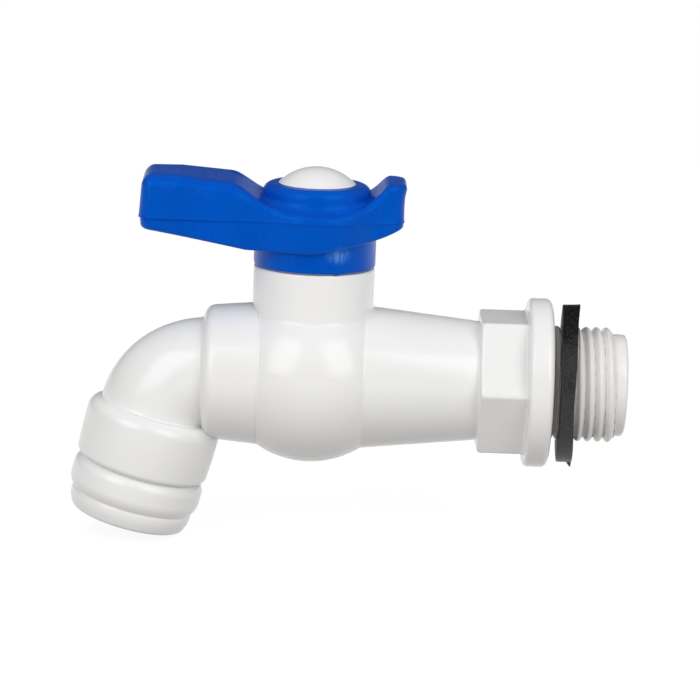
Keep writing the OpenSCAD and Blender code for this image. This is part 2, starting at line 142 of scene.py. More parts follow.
def arc(across: float, along: float, radius: float, start: float, end: float, steps: int = 8) -> list[Point]:
    """Points of an arc in a profile.

    Args:
        across: Place of the centre along the profile's first axis.
        along: Place of the centre along its second axis.
        radius: Radius of the arc.
        start: Angle of the first point, in degrees from the first axis.
        end: Angle of the last point.
        steps: Number of stretches.

    Returns:
        The points, both ends among them.
    """
    turns = [math.radians(start + (end - start) * k / steps) for k in range(steps + 1)]
    return [(across + radius * math.cos(t), along + radius * math.sin(t)) for t in turns]


def even_turns(count: int) -> list[float]:
    """Angles spaced evenly round a circle, in radians."""
    return [math.tau * k / count for k in range(count)]


def axis_frame(origin: Sequence[float], along: Sequence[float]) -> Matrix:
    """A frame whose third axis runs along a direction.

    Args:
        origin: The frame's origin, in millimetres.
        along: Direction of its third axis.

    Returns:
        The frame, with its first axis level.
    """
    third = Vector(along).normalized()
    first = Vector((0, 1, 0)) if abs(third.z) < 0.99 and abs(third.y) < 0.9 else Vector((1, 0, 0))
    second = third.cross(first).normalized()
    turned = Matrix((first, second, third)).transposed().to_4x4()
    return Matrix.Translation(Vector(origin)) @ turned


def circle(place: Matrix, along: float, radius: float, turns: Sequence[float]) -> Ring:
    """One circular ring about a frame's third axis.

    Args:
        place: The frame.
        along: Distance of the ring along that axis.
        radius: Its radius.
        turns: The angles of its corners.

    Returns:
        The ring's corners.
    """
    return [place @ Vector((radius * math.cos(t), radius * math.sin(t), along)) for t in turns]


# Modelling, as by hand


def deselect_all() -> None:
    """Leaves nothing selected, the CAD nodes among them."""
    if bpy.context.object and bpy.context.object.mode != "OBJECT":
        bpy.ops.object.mode_set(mode="OBJECT")
    bpy.ops.object.select_all(action="DESELECT")


def activate(piece: bpy.types.Object) -> None:
    """Selects one piece alone and makes it the active one."""
    deselect_all()
    piece.select_set(True)
    bpy.context.view_layer.objects.active = piece


def place_corners(piece: bpy.types.Object, ring: Ring) -> None:
    """Moves the corners that were made last to a ring's places."""
    mesh = bmesh.from_edit_mesh(piece.data)
    mesh.verts.ensure_lookup_table()
    for corner, point in zip(mesh.verts[len(mesh.verts) - len(ring) :], ring):
        corner.co = point * MM
    bmesh.update_edit_mesh(piece.data, loop_triangles=False, destructive=False)


def select_corners(piece: bpy.types.Object, chosen: Callable[[int, Vector], bool]) -> int:
    """Selects the corners that a rule names, in edit mode.

    Args:
        piece: The piece in edit mode.
        chosen: The rule, from a corner's number and its place in millimetres.

    Returns:
        How many corners it selected.
    """
    bpy.ops.mesh.select_mode(type="VERT")
    bpy.ops.mesh.select_all(action="DESELECT")
    mesh = bmesh.from_edit_mesh(piece.data)
    picked = [c for c in mesh.verts if chosen(c.index, c.co / MM)]
    for corner in picked:
        corner.select = True
    mesh.select_flush(True)
    bmesh.update_edit_mesh(piece.data)
    return len(picked)


def draw_out(name: str, rings: Sequence[Ring], first: End = End.FLAT, last: End = End.FLAT) -> bpy.types.Object:
    """Makes a closed shape by extruding a circle from ring to ring.

    Args:
        name: Name of the new piece.
        rings: The rings in order, all with the same number of corners.
        first: How the first ring is closed.
        last: How the last ring is closed.

    Returns:
        The piece, in object mode.
    """
    deselect_all()
    count = len(rings[0])
    bpy.ops.mesh.primitive_circle_add(vertices=count, radius=MM)
    piece = bpy.context.object
    piece.name = name
    piece.data.name = name
    bpy.ops.object.mode_set(mode="EDIT")
    bpy.ops.mesh.select_mode(type="VERT")
    place_corners(piece, rings[0])
    for ring in rings[1:]:
        bpy.ops.mesh.extrude_region_move()
        place_corners(piece, ring)
    total = count * len(rings)
    if End.ROUND_TRIP in (first, last):
        select_corners(piece, lambda k, _: k < count or k >= total - count)
        bpy.ops.mesh.bridge_edge_loops()
    else:
        close_ring(last)
        select_corners(piece, lambda k, _: k < count)
        close_ring(first)
    bpy.ops.mesh.select_all(action="SELECT")
    bpy.ops.mesh.normals_make_consistent(inside=False)
    bpy.ops.object.mode_set(mode="OBJECT")
    return piece


def close_ring(end: End) -> None:
    """Closes the selected ring with one flat face, or by merging it into a point."""
    if end is End.POINT:
        bpy.ops.mesh.merge(type="CENTER")
    else:
        bpy.ops.mesh.edge_face_add()


def turn_shape(
    name: str, place: Matrix, profile: Sequence[Point], count: int = 160, first: End = End.FLAT, last: End = End.FLAT
) -> bpy.types.Object:
    """Makes a turned shape from a profile.

    Args:
        name: Name of the new piece.
        place: Frame whose third axis it is turned about.
        profile: Points of distance along that axis and radius.
        count: Corners round the shape.
        first: How the profile's start is closed.
        last: How its end is closed.

    Returns:
        The piece.
    """
    turns = even_turns(count)
    return draw_out(name, [circle(place, along, radius, turns) for along, radius in profile], first, last)


def block(name: str, low: Sequence[float], high: Sequence[float]) -> bpy.types.Object:
    """A block between two corners, in millimetres, for cutting."""
    x0, y0, z0 = low
    x1, y1, z1 = high
    rings = [[Vector(p) for p in ((x0, y0, z), (x1, y0, z), (x1, y1, z), (x0, y1, z))] for z in (z0, z1)]
    return draw_out(name, rings)


def sector(name: str, place: Matrix, inner: float, outer: float, height: float, turn: float, width: float) -> bpy.types.Object:
    """Part of a ring, drawn out round its axis.

    Args:
        name: Name of the new piece.
        place: Frame whose third axis it lies round.
        inner: Inner radius.
        outer: Outer radius.
        height: Height along the axis.
        turn: Direction of its middle, in degrees.
        width: Angle that it spans, in degrees.

    Returns:
        The piece.
    """
    steps = max(4, round(width / 3))
    rings = []
    for k in range(steps + 1):
        angle = math.radians(turn - width / 2 + width * k / steps)
        aim = Vector((math.cos(angle), math.sin(angle), 0))
        rings.append([place @ (aim * r + Vector((0, 0, z))) for r, z in ((inner, 0), (outer, 0), (outer, height), (inner, height))])
    return draw_out(name, rings)


def combine(piece: bpy.types.Object, tool: bpy.types.Object, join: Join) -> None:
    """Adds a solid to a piece or cuts it away, and deletes that solid.

    Args:
        piece: The piece that is changed.
        tool: The solid that changes it.
        join: Whether it is added or cut away.
    """
    activate(piece)
    change = piece.modifiers.new(join.name.lower(), "BOOLEAN")
    change.operation = join.value
    change.solver = "MANIFOLD"
    change.object = tool
    bpy.ops.object.modifier_apply(modifier=change.name)
    bpy.data.objects.remove(tool)


def keep_side(piece: bpy.types.Object, at: Sequence[float], towards: Sequence[float]) -> None:
    """Cuts a piece at a plane, keeps the side that a direction points to, and closes the cut."""
    activate(piece)
    bpy.ops.object.mode_set(mode="EDIT")
    bpy.ops.mesh.select_all(action="SELECT")
    bpy.ops.mesh.bisect(plane_co=Vector(at) * MM, plane_no=towards, use_fill=True, clear_inner=True)
    bpy.ops.object.mode_set(mode="OBJECT")


def smooth(piece: bpy.types.Object, sharpest: float) -> None:
    """Shades a piece smooth but for edges that turn by more than an angle, in degrees."""
    activate(piece)
    bpy.ops.object.shade_smooth_by_angle(angle=math.radians(sharpest))


def open_edges(piece: bpy.types.Object) -> int:
    """How many edges of a piece don't lie between exactly two faces."""
    mesh = bmesh.new()
    mesh.from_mesh(piece.data)
    count = sum(1 for edge in mesh.edges if not edge.is_manifold)
    mesh.free()
    return count


def dress(piece: bpy.types.Object, material: bpy.types.Material, slot: Slot, body: Body, *nodes: str) -> None:
    """Gives a finished piece its material and its place in the frame, and reports it.

    Args:
        piece: The finished piece.
        material: Its material.
        slot: The record's slot that it belongs to; not used.
        body: The body that it rides on.
        nodes: The CAD nodes that it stands for.
    """
    piece.data.materials.clear()
    piece.data.materials.append(material)
    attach(piece, body.value)
    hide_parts(*nodes)
    triangles = sum(len(face.vertices) - 2 for face in piece.data.polygons)
    LOG.info("%s: %d triangles, %d open edges, for %s", piece.name, triangles, open_edges(piece), ", ".join(nodes))


# Places that the pieces share


@dataclass(frozen=True)
class Places:
    """Where the pieces meet, in millimetres, and how much the loose washer leans on the thread."""

    stem_x: float
    tail_x: float
    inlet_end_x: float
    washer_x: float
    neck_top_z: float
    skirt_z: float
    gland_top_z: float
    recess_z: float
    cap_low_z: float
    cap_top_z: float
    mouth: Vector
    outflow: Vector
    nozzle_len: float
    washer_lean: float = 0.047

    @classmethod
    def read(cls) -> "Places":
        """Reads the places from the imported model's boxes, joint and mounts."""
        mount = next(m for m in frame["record"]["mounts"] if m["name"] == "outlet_bore")
        body_low, body_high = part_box("body")
        return cls(
            stem_x=frame["joints"][0]["pos_m"][0] / MM,
            tail_x=body_low.x / MM,
            inlet_end_x=body_high.x / MM,
            washer_x=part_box("inlet_washer")[0].x / MM,
            neck_top_z=body_high.z / MM,
            skirt_z=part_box("handle")[0].z / MM,
            gland_top_z=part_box("gland_nut")[1].z / MM,
            recess_z=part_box("screw_washer")[0].z / MM,
            cap_low_z=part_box("cap")[0].z / MM,
            cap_top_z=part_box("cap")[1].z / MM,
            mouth=Vector(mount["pos_m"]) / MM,
            outflow=Vector(mount["axis"]).normalized(),
            nozzle_len=mount["dims"]["length_mm"],
        )

    @property
    def inlet_axis(self) -> Matrix:
        """Frame whose third axis runs along the inlet."""
        return axis_frame((0, 0, 0), (1, 0, 0))

    @property
    def stem_axis(self) -> Matrix:
        """Frame whose third axis runs up the stem, from the level of the inlet's axis."""
        return axis_frame((self.stem_x, 0, 0), (0, 0, 1))


# Surfaces


class Nodes:
    """The nodes of one material, with the few kinds that the finishes share."""

    def __init__(self, name: str) -> None:
        """Starts a material with a Principled shader on Object coordinates."""
        self.material = bpy.data.materials.new(name)
        self.material.use_nodes = True
        self.tree = self.material.node_tree
        self.tree.nodes.clear()
        self.output = self.tree.nodes.new("ShaderNodeOutputMaterial")
        self.shader = self.tree.nodes.new("ShaderNodeBsdfPrincipled")
        self.coordinates = self.tree.nodes.new("ShaderNodeTexCoord").outputs["Object"]
        self.link(self.shader.outputs["BSDF"], self.output.inputs["Surface"])

    def link(self, source: bpy.types.NodeSocket, target: bpy.types.NodeSocket) -> None:
        """Joins one node's output to another's input."""
        self.tree.links.new(source, target)

    def noise(self, size: float, detail: float = 3.0, stretch: Sequence[float] = (1, 1, 1)) -> bpy.types.NodeSocket:
        """Soft random patches.

        Args:
            size: Size of a patch, in millimetres.
            detail: How many finer layers it has.
            stretch: How much finer it is along each axis.

        Returns:
            The pattern's value, about 0.5 on average.
        """
        mapping = self.tree.nodes.new("ShaderNodeMapping")
        mapping.inputs["Scale"].default_value = stretch
        self.link(self.coordinates, mapping.inputs["Vector"])
        pattern = self.tree.nodes.new("ShaderNodeTexNoise")
        pattern.inputs["Scale"].default_value = 1 / (size * MM)
        pattern.inputs["Detail"].default_value = detail
        self.link(mapping.outputs["Vector"], pattern.inputs["Vector"])
        return pattern.outputs["Fac"]

    def spots(self, size: float) -> bpy.types.NodeSocket:
        """Distance to the nearest of many scattered points, 0 at each one."""
        pattern = self.tree.nodes.new("ShaderNodeTexVoronoi")
        pattern.inputs["Scale"].default_value = 1 / (size * MM)
        self.link(self.coordinates, pattern.inputs["Vector"])
        return pattern.outputs["Distance"]

    def spread(self, value: bpy.types.NodeSocket, low: float, high: float, to_low: float, to_high: float) -> bpy.types.NodeSocket:
        """Takes a value from one range to another, held at its ends.

        Args:
            value: The value.
            low: Start of its own range.
            high: End of its own range.
            to_low: What the start becomes.
            to_high: What the end becomes.

        Returns:
            The new value.
        """
        node = self.tree.nodes.new("ShaderNodeMapRange")
        node.interpolation_type = "SMOOTHSTEP"
        for name, number in (("From Min", low), ("From Max", high), ("To Min", to_low), ("To Max", to_high)):
            node.inputs[name].default_value = number
        self.link(value, node.inputs["Value"])
        return node.outputs["Result"]

    def math(self, kind: str, a: bpy.types.NodeSocket, b: bpy.types.NodeSocket | float) -> bpy.types.NodeSocket:
        """One sum on two values, such as MULTIPLY, ADD or MAXIMUM."""
        node = self.tree.nodes.new("ShaderNodeMath")
        node.operation = kind
        self.link(a, node.inputs[0])
        if isinstance(b, (int, float)):
            node.inputs[1].default_value = b
        else:
            self.link(b, node.inputs[1])
        return node.outputs["Value"]

    def part(self, axis: str) -> bpy.types.NodeSocket:
        """The place along X, Y or Z, in metres."""
        node = self.tree.nodes.new("ShaderNodeSeparateXYZ")
        self.link(self.coordinates, node.inputs["Vector"])
        return node.outputs[axis]

    def near(self, place: Sequence[float], reach: float, stretch: Sequence[float] = (1, 1, 1)) -> bpy.types.NodeSocket:
        """How close a surface is to a place.

        Args:
            place: The place, in millimetres.
            reach: Distance at which the value is 0, in millimetres.
            stretch: How much faster it falls along each axis.

        Returns:
            1 at the place, falling softly to 0.
        """
        mapping = self.tree.nodes.new("ShaderNodeMapping")
        mapping.inputs["Location"].default_value = [-c * MM * s for c, s in zip(place, stretch)]
        mapping.inputs["Scale"].default_value = stretch
        self.link(self.coordinates, mapping.inputs["Vector"])
        length = self.tree.nodes.new("ShaderNodeVectorMath")
        length.operation = "LENGTH"
        self.link(mapping.outputs["Vector"], length.inputs[0])
        return self.spread(length.outputs["Value"], 0, reach * MM, 1, 0)

    def blend(
        self, share: bpy.types.NodeSocket, a: Colour | bpy.types.NodeSocket, b: Colour | bpy.types.NodeSocket
    ) -> bpy.types.NodeSocket:
        """Mixes two colours.

        Args:
            share: How much of the second one there is, from 0 to 1.
            a: The first colour.
            b: The second colour.

        Returns:
            The mixed colour.
        """
        node = self.tree.nodes.new("ShaderNodeMix")
        node.data_type = "RGBA"
        self.link(share, node.inputs[0])
        for value, target in ((a, node.inputs[6]), (b, node.inputs[7])):
            if isinstance(value, tuple):
                target.default_value = (*value, 1)
            else:
                self.link(value, target)
        return node.outputs[2]

    def relief(self, layers: Sequence[tuple[bpy.types.NodeSocket, float]]) -> None:
        """Gives the surface relief.

        Args:
            layers: Patterns, each with its depth in millimetres.
        """
        normal: Optional[bpy.types.NodeSocket] = None
        for height, depth in layers:
            node = self.tree.nodes.new("ShaderNodeBump")
            node.inputs["Strength"].default_value = 1.0
            node.inputs["Distance"].default_value = depth * MM
            self.link(height, node.inputs["Height"])
            if normal is not None:
                self.link(normal, node.inputs["Normal"])
            normal = node.outputs["Normal"]
        if normal is not None:
            self.link(normal, self.shader.inputs["Normal"])

    def set(self, name: str, value: float | Sequence[float] | bpy.types.NodeSocket) -> None:
        """Sets or links one socket of the shader."""
        socket = self.shader.inputs[name]
        if isinstance(value, bpy.types.NodeSocket):
            self.link(value, socket)
        else:
            socket.default_value = value


@dataclass(frozen=True)
class GlossyWhite:
    """Glossy white plastic with faint flow marks, warmer and a little soiled on the thread.

    Attributes:
        name: Name of the material.
        base: Its colour.
        cool: Colour of its cooler patches.
        warm: Colour of the warmer patches on the thread.
        gloss: Lowest and highest roughness.
        thread_x: Where the thread starts, in millimetres.
        soil: How strongly the warm colour shows beyond that place.
    """

    name: str = "white_gloss"
    base: Colour = (0.885, 0.88, 0.87)
    cool: Colour = (0.87, 0.87, 0.87)
    warm: Colour = (0.80, 0.76, 0.72)
    gloss: Point = (0.17, 0.24)
    thread_x: float = -4.0
    soil: float = 0.45

    def make(self) -> bpy.types.Material:
        """Builds the material."""
        nodes = Nodes(self.name)
        flow = nodes.noise(14, 2, (0.35, 1, 1))
        colour = nodes.blend(nodes.spread(flow, 0.35, 0.7, 0, 1), self.base, self.cool)
        dust = nodes.noise(1.6, 5)
        beyond = nodes.spread(nodes.part("X"), (self.thread_x - 2) * MM, self.thread_x * MM, 0, self.soil)
        soil = nodes.math("MULTIPLY", beyond, nodes.spread(dust, 0.3, 0.75, 0.35, 1))
        nodes.set("Base Color", nodes.blend(soil, colour, self.warm))
        nodes.set("Roughness", nodes.spread(nodes.noise(5, 4), 0.3, 0.7, *self.gloss))
        nodes.set("IOR", 1.49)
        nodes.relief([(nodes.noise(2.4, 1), 0.010), (nodes.noise(0.35, 2), 0.0012)])
        return nodes.material


@dataclass(frozen=True)
class SatinBlue:
    """Satin blue plastic with a fine grain, faint upright draw marks and a pale scuff on the skirt.

    Attributes:
        name: Name of the material.
        base: Its colour.
        deep: Colour of its darker patches.
        worn: Colour where it is rubbed.
        gloss: Lowest and highest roughness.
        scuff: Place of the scuff on the skirt, in millimetres.
    """

    name: str = "blue_satin"
    base: Colour = (0.0, 0.086, 0.56)
    deep: Colour = (0.0, 0.076, 0.50)
    worn: Colour = (0.12, 0.34, 0.80)
    gloss: Point = (0.28, 0.37)
    tint: tuple[float, float, float, float] = (0.03, 0.45, 1.0, 1.0)
    scuff: tuple[float, float, float] = (-44.2, -10.1, 24.1)

    def make(self) -> bpy.types.Material:
        """Builds the material."""
        nodes = Nodes(self.name)
        patches = nodes.spread(nodes.noise(6, 4), 0.3, 0.7, 0, 1)
        colour = nodes.blend(patches, self.base, self.deep)
        streaks = nodes.spread(nodes.noise(0.5, 3, (1, 1, 0.15)), 0.45, 0.75, 0, 0.022)
        colour = nodes.blend(streaks, colour, self.worn)
        scratches = nodes.spread(nodes.noise(0.35, 4, (1, 1, 0.25)), 0.35, 0.62, 0.2, 1)
        rubbed = nodes.math("MULTIPLY", nodes.near(self.scuff, 2.6, (0.8, 1, 1.15)), scratches)
        nodes.set("Base Color", nodes.blend(nodes.math("MULTIPLY", rubbed, 0.85), colour, self.worn))
        grain = nodes.noise(0.16, 2)
        nodes.set("Roughness", nodes.spread(nodes.noise(1.2, 4), 0.3, 0.7, *self.gloss))
        nodes.set("IOR", 1.46)
        nodes.set("Specular IOR Level", 0.42)
        nodes.set("Specular Tint", self.tint)
        nodes.relief([(nodes.noise(3.2, 2), 0.012), (grain, 0.0035)])
        return nodes.material


@dataclass(frozen=True)
class Rubber:
    """Black moulded rubber, mottled, with a few pale specks of dust.

    Attributes:
        name: Name of the material.
        base: Its colour.
        bloom: Colour of its greyer patches.
        speck: Colour of the specks.
        gloss: Lowest and highest roughness.
    """

    name: str = "rubber_mottled"
    base: Colour = (0.003, 0.003, 0.004)
    bloom: Colour = (0.020, 0.020, 0.024)
    speck: Colour = (0.26, 0.26, 0.28)
    gloss: Point = (0.38, 0.55)

    def make(self) -> bpy.types.Material:
        """Builds the material."""
        nodes = Nodes(self.name)
        mottle = nodes.noise(0.42, 5)
        colour = nodes.blend(nodes.spread(mottle, 0.38, 0.68, 0, 1), self.base, self.bloom)
        specks = nodes.math("MULTIPLY", nodes.spread(nodes.spots(1.5), 0.06, 0.11, 1, 0), nodes.spread(nodes.noise(5, 2), 0.5, 0.6, 0, 1))
        nodes.set("Base Color", nodes.blend(specks, colour, self.speck))
        nodes.set("Roughness", nodes.spread(mottle, 0.3, 0.7, *self.gloss))
        nodes.relief([(nodes.noise(0.9, 3), 0.04), (nodes.noise(0.25, 3), 0.03)])
        return nodes.material


@dataclass(frozen=True)
class Moulding:
    """Matt moulded plastic of an inner part, with turning or draw marks.

    Attributes:
        name: Name of the material.
        base: Its colour.
        shade: Colour of its darker patches.
        gloss: Lowest and highest roughness.
        mark: Spacing of the marks, in millimetres.
    """

    name: str
    base: Colour
    shade: Colour
    gloss: Point
    mark: float

    def make(self) -> bpy.types.Material:
        """Builds the material."""
        nodes = Nodes(self.name)
        nodes.set("Base Color", nodes.blend(nodes.spread(nodes.noise(3, 4), 0.3, 0.7, 0, 1), self.base, self.shade))
        nodes.set("Roughness", nodes.spread(nodes.noise(1.1, 3), 0.3, 0.7, *self.gloss))
        nodes.relief([(nodes.noise(self.mark, 2, (1, 1, 4)), 0.004), (nodes.noise(1.5, 2), 0.006)])
        return nodes.material


@dataclass(frozen=True)
class TurnedSteel:
    """Zinc-plated steel with fine turning marks and dull spots.

    Attributes:
        name: Name of the material.
        base: Its colour.
        dull: Colour of the dull spots.
        gloss: Lowest and highest roughness.
    """

    name: str = "steel_plated"
    base: Colour = (0.62, 0.62, 0.60)
    dull: Colour = (0.42, 0.41, 0.38)
    gloss: Point = (0.22, 0.45)

    def make(self) -> bpy.types.Material:
        """Builds the material."""
        nodes = Nodes(self.name)
        spots = nodes.spread(nodes.noise(0.9, 4), 0.5, 0.7, 0, 1)
        nodes.set("Base Color", nodes.blend(spots, self.base, self.dull))
        nodes.set("Metallic", 1.0)
        nodes.set("Roughness", nodes.spread(nodes.noise(0.5, 3), 0.3, 0.7, *self.gloss))
        nodes.relief([(nodes.noise(0.12, 2, (1, 1, 8)), 0.003)])
        return nodes.material


# The white housing


@dataclass
class Housing:
    """The white body: thread, flange, hexagon, barrel, bulge, tower and tail.

    Attributes are diameters, lengths and radii in millimetres, as in the part's source.
    """

    places: Places
    thread_d: float = 20.955
    thread_pitch: float = 1.814
    thread_depth: float = 1.05
    thread_start: float = 1.15
    thread_fillet: float = 0.4
    thread_end: float = 6.75
    thread_end_lean: float = 0.45
    grip_d: float = 20.4
    pilot_d: float = 18.6
    pilot_round: float = 0.7
    inlet_bore_d: float = 15.0
    washer_gap: float = 1.8
    flange_d: float = 30.8
    flange_t: float = 4.4
    flange_near_round: float = 0.9
    flange_far_round: float = 1.2
    hex_af: float = 24.0
    hex_len: float = 8.6
    hex_corner: float = 0.8
    hex_fillet: float = 0.6
    barrel_len: float = 20.8
    barrel_small_d: float = 21.7
    barrel_large_d: float = 26.0
    bulge_d: float = 31.7
    bulge_half: float = 9.7
    crease: float = 0.7
    collar_end_d: float = 24.6
    collar_straight: float = 7.7
    tower_d: float = 21.95
    tower_z: float = 20.3
    tower_round: float = 0.4
    tower_fillet: float = 1.0
    neck_d: float = 19.8
    notch_d: float = 18.0
    notch_turn: float = 90.0
    notch_width: float = 132.0
    tail_d: float = 22.0
    tail_len: float = 5.5
    seal_t: float = 1.0
    chamber_d: float = 18.4
    chamber_reach: float = 9.5
    well_d: float = 16.0
    well_floor_z: float = 11.6
    foot_hole_d: float = 9.36

    @property
    def seam_x(self) -> float:
        """Where the body ends and the spout's collar starts."""
        return self.places.stem_x - self.bulge_half

    @property
    def flange_x(self) -> float:
        """The flange's face towards the wall."""
        return self.places.washer_x - self.washer_gap

    @property
    def hex_x(self) -> float:
        """Where the hexagon meets the flange."""
        return self.flange_x - self.flange_t

    @property
    def barrel_x(self) -> float:
        """Where the barrel meets the hexagon."""
        return self.hex_x - self.hex_len

    @property
    def bulge_r(self) -> float:
        """Radius of the bulge's crown, which meets the hollow creases at its ends."""
        rise = (self.bulge_d - self.barrel_large_d) / 2
        return (self.bulge_half**2 + (rise - self.crease) ** 2 - self.crease**2) / (2 * rise)

    def bulge_profile(self) -> list[Point]:
        """The bulge from the seam to the barrel, with a soft crease at both ends."""
        hollow = self.barrel_large_d / 2 + self.crease
        centre = self.bulge_d / 2 - self.bulge_r
        lean = math.degrees(math.asin(self.bulge_half / (self.bulge_r + self.crease)))
        stem = self.places.stem_x
        left = arc(stem - self.bulge_half, hollow, self.crease, -90, -90 + lean, 6)
        crown = arc(stem, centre, self.bulge_r, 90 + lean, 90 - lean, 44)
        right = arc(stem + self.bulge_half, hollow, self.crease, -90 - lean, -90, 6)
        return left + crown[1:-1] + right

    def outer_radius(self, x: float) -> float:
        """Radius of the white outside at a place along the inlet.

        Args:
            x: The place, anywhere from the collar to the barrel.

        Returns:
            The radius there.
        """
        large, stem = self.barrel_large_d / 2, self.places.stem_x
        if x < self.seam_x:
            fall = large - self.collar_end_d / 2
            return large - fall * (self.seam_x - x) / self.collar_straight
        away = abs(x - stem)
        if away <= self.bulge_half * self.bulge_r / (self.bulge_r + self.crease):
            return self.bulge_d / 2 - self.bulge_r + math.sqrt(self.bulge_r**2 - away**2)
        if away <= self.bulge_half:
            return large + self.crease - math.sqrt(self.crease**2 - (self.bulge_half - away) ** 2)
        start = stem + self.bulge_half
        return large + (self.barrel_small_d / 2 - large) * (x - start) / (self.barrel_x - start)

    def hex_turns(self) -> list[float]:
        """Angles round the inlet, closer together at the hexagon's corners."""
        edge = math.degrees(math.atan2(self.hex_corner / 2, self.hex_af / math.sqrt(3) - 0.2))
        near = [edge * k / 4 for k in range(-4, 4)]
        flat = [edge + (60 - 2 * edge) * k / 28 for k in range(28)]
        return [math.radians(60 * side + turn) for side in range(6) for turn in near + flat]

    def hex_radius(self, turn: float, inset: float = 0.0) -> float:
        """Distance from the axis to the hexagon's side in one direction.

        Args:
            turn: The direction, in radians from a corner.
            inset: How far the sides are moved inwards.

        Returns:
            The distance.
        """
        apothem = self.hex_af / 2 - inset
        away = abs((turn + math.pi / 6) % (math.pi / 3) - math.pi / 6)
        flat = apothem / math.cos(math.pi / 6 - away)
        centre = (apothem - self.hex_corner) / math.cos(math.pi / 6)
        reach = self.hex_corner**2 - (centre * math.sin(away)) ** 2
        if reach <= 0:
            return flat
        return min(flat, centre * math.cos(away) + math.sqrt(reach))

    def thread_radius(self, x: float, turn: float) -> float:
        """Radius of the thread: round ridges with narrow grooves, a fillet at the flange and a run-out.

        Args:
            x: Place along the inlet.
            turn: Angle round it, in radians.

        Returns:
            The radius there. Under the washer the ridges are a little lower.
        """
        crest = self.thread_d / 2
        root = crest - self.thread_depth
        phase = (x - self.thread_start) / self.thread_pitch - turn / math.tau
        away = 2 * abs(phase - round(phase))
        ridge = root + self.thread_depth * max(1 - away**1.8, 0) ** 0.7
        at = x - self.places.washer_lean * crest * math.cos(turn)
        covered = ease((at - self.places.washer_x + 0.2) / 0.2) * (1 - ease(at / 0.3))
        ridge = min(ridge, crest - (crest - self.grip_d / 2) * covered)
        end = self.thread_end - self.thread_end_lean * math.sin(turn)
        pilot = self.pilot_d / 2
        run_out = pilot + (crest - pilot) * held((end - x) / 0.35, 0, 1)
        near = held(self.thread_fillet - (x - self.flange_x), 0, self.thread_fillet)
        fillet = root + self.thread_fillet - math.sqrt(self.thread_fillet**2 - near**2)
        return max(min(ridge, run_out), fillet) if x < end else pilot

    def outer_rings(self) -> list[Ring]:
        """The rings of the body's outside, from the tail to the inlet's end."""
        turns = self.hex_turns()
        axis = self.places.inlet_axis
        tail_r = self.tail_d / 2
        groove = self.places.tail_x + self.tail_len / 2
        half = self.seal_t / 2 + 0.05
        base = self.barrel_large_d / 2
        profile = [(self.places.tail_x, tail_r - 0.3), (self.places.tail_x + 0.3, tail_r)]
        profile += [(groove - half, tail_r), (groove - half, tail_r - self.seal_t)]
        profile += [(groove + half, tail_r - self.seal_t), (groove + half, tail_r)]
        profile += [(self.seam_x, tail_r), (self.seam_x, base - 0.08), (self.seam_x + 0.08, base)]
        profile += self.bulge_profile()[1:]
        profile += [(self.barrel_x - 1.2, self.outer_radius(self.barrel_x - 1.2))]
        rings = [circle(axis, along, radius, turns) for along, radius in profile]
        rings += self.hexagon_rings(axis, turns)
        rings += self.thread_rings(axis, turns)
        return rings

    def hexagon_rings(self, axis: Matrix, turns: Sequence[float]) -> list[Ring]:
        """The rings of the hexagon and the flange."""
        barrel = self.barrel_small_d / 2
        rings = []
        # The step up from the barrel: a hollow fillet, then a rounded edge
        step = arc(self.barrel_x - 0.55, 0.55, 0.55, -90, 0, 5) + arc(self.barrel_x + 0.7, 1.95, 0.7, 180, 90, 6)
        height = step[-1][1]
        for along, up in step:
            share = up / height
            rings.append(self.polar_ring(axis, along, turns, lambda t, s=share: barrel + (self.hex_radius(t) - barrel) * s))
        fillet = self.hex_fillet
        for along, up in arc(self.hex_x - fillet, fillet, fillet, -90, 0, 6):
            rings.append(self.polar_ring(axis, along, turns, lambda t, u=up: self.hex_radius(t) + u))
        rim = self.flange_d / 2
        near, far = self.flange_near_round, self.flange_far_round
        edge = arc(self.hex_x + near, rim - near, near, 180, 90, 8) + arc(self.flange_x - far, rim - far, far, 90, 0, 9)
        return rings + [circle(axis, along, radius, turns) for along, radius in edge]

    def thread_rings(self, axis: Matrix, turns: Sequence[float]) -> list[Ring]:
        """The rings of the thread and the plain end."""
        rings = []
        steps = 136
        end = self.thread_end + self.thread_end_lean
        start = self.flange_x
        for k in range(steps + 1):
            x = start + (end - start) * k / steps
            rings.append(self.polar_ring(axis, x, turns, lambda t, at=x: self.thread_radius(at, t)))
        pilot = self.pilot_d / 2
        rounded = self.pilot_round
        tip = arc(self.places.inlet_end_x - rounded, pilot - rounded, rounded, 90, 0, 7)
        return rings + [circle(axis, along, radius, turns) for along, radius in tip]

    @staticmethod
    def polar_ring(axis: Matrix, along: float, turns: Sequence[float], radius: Callable[[float], float]) -> Ring:
        """A ring whose radius changes with the direction."""
        return [axis @ Vector((radius(t) * math.cos(t), radius(t) * math.sin(t), along)) for t in turns]

    def fillet_ring(self, name: str) -> bpy.types.Object:
        """A ring that softens the corner between the tower and what it stands on."""
        count, wall, size = 160, self.tower_d / 2, self.tower_fillet
        sink, stem = 0.02, self.places.stem_x
        columns = []
        for turn in even_turns(count):
            aim = Vector((math.cos(turn), math.sin(turn), 0))

            def ground(out: float) -> float:
                """Height of the white outside at a distance from the stem, in this direction."""
                radius = self.outer_radius(stem + out * aim.x)
                return math.sqrt(max(radius**2 - (out * aim.y) ** 2, 0.01))

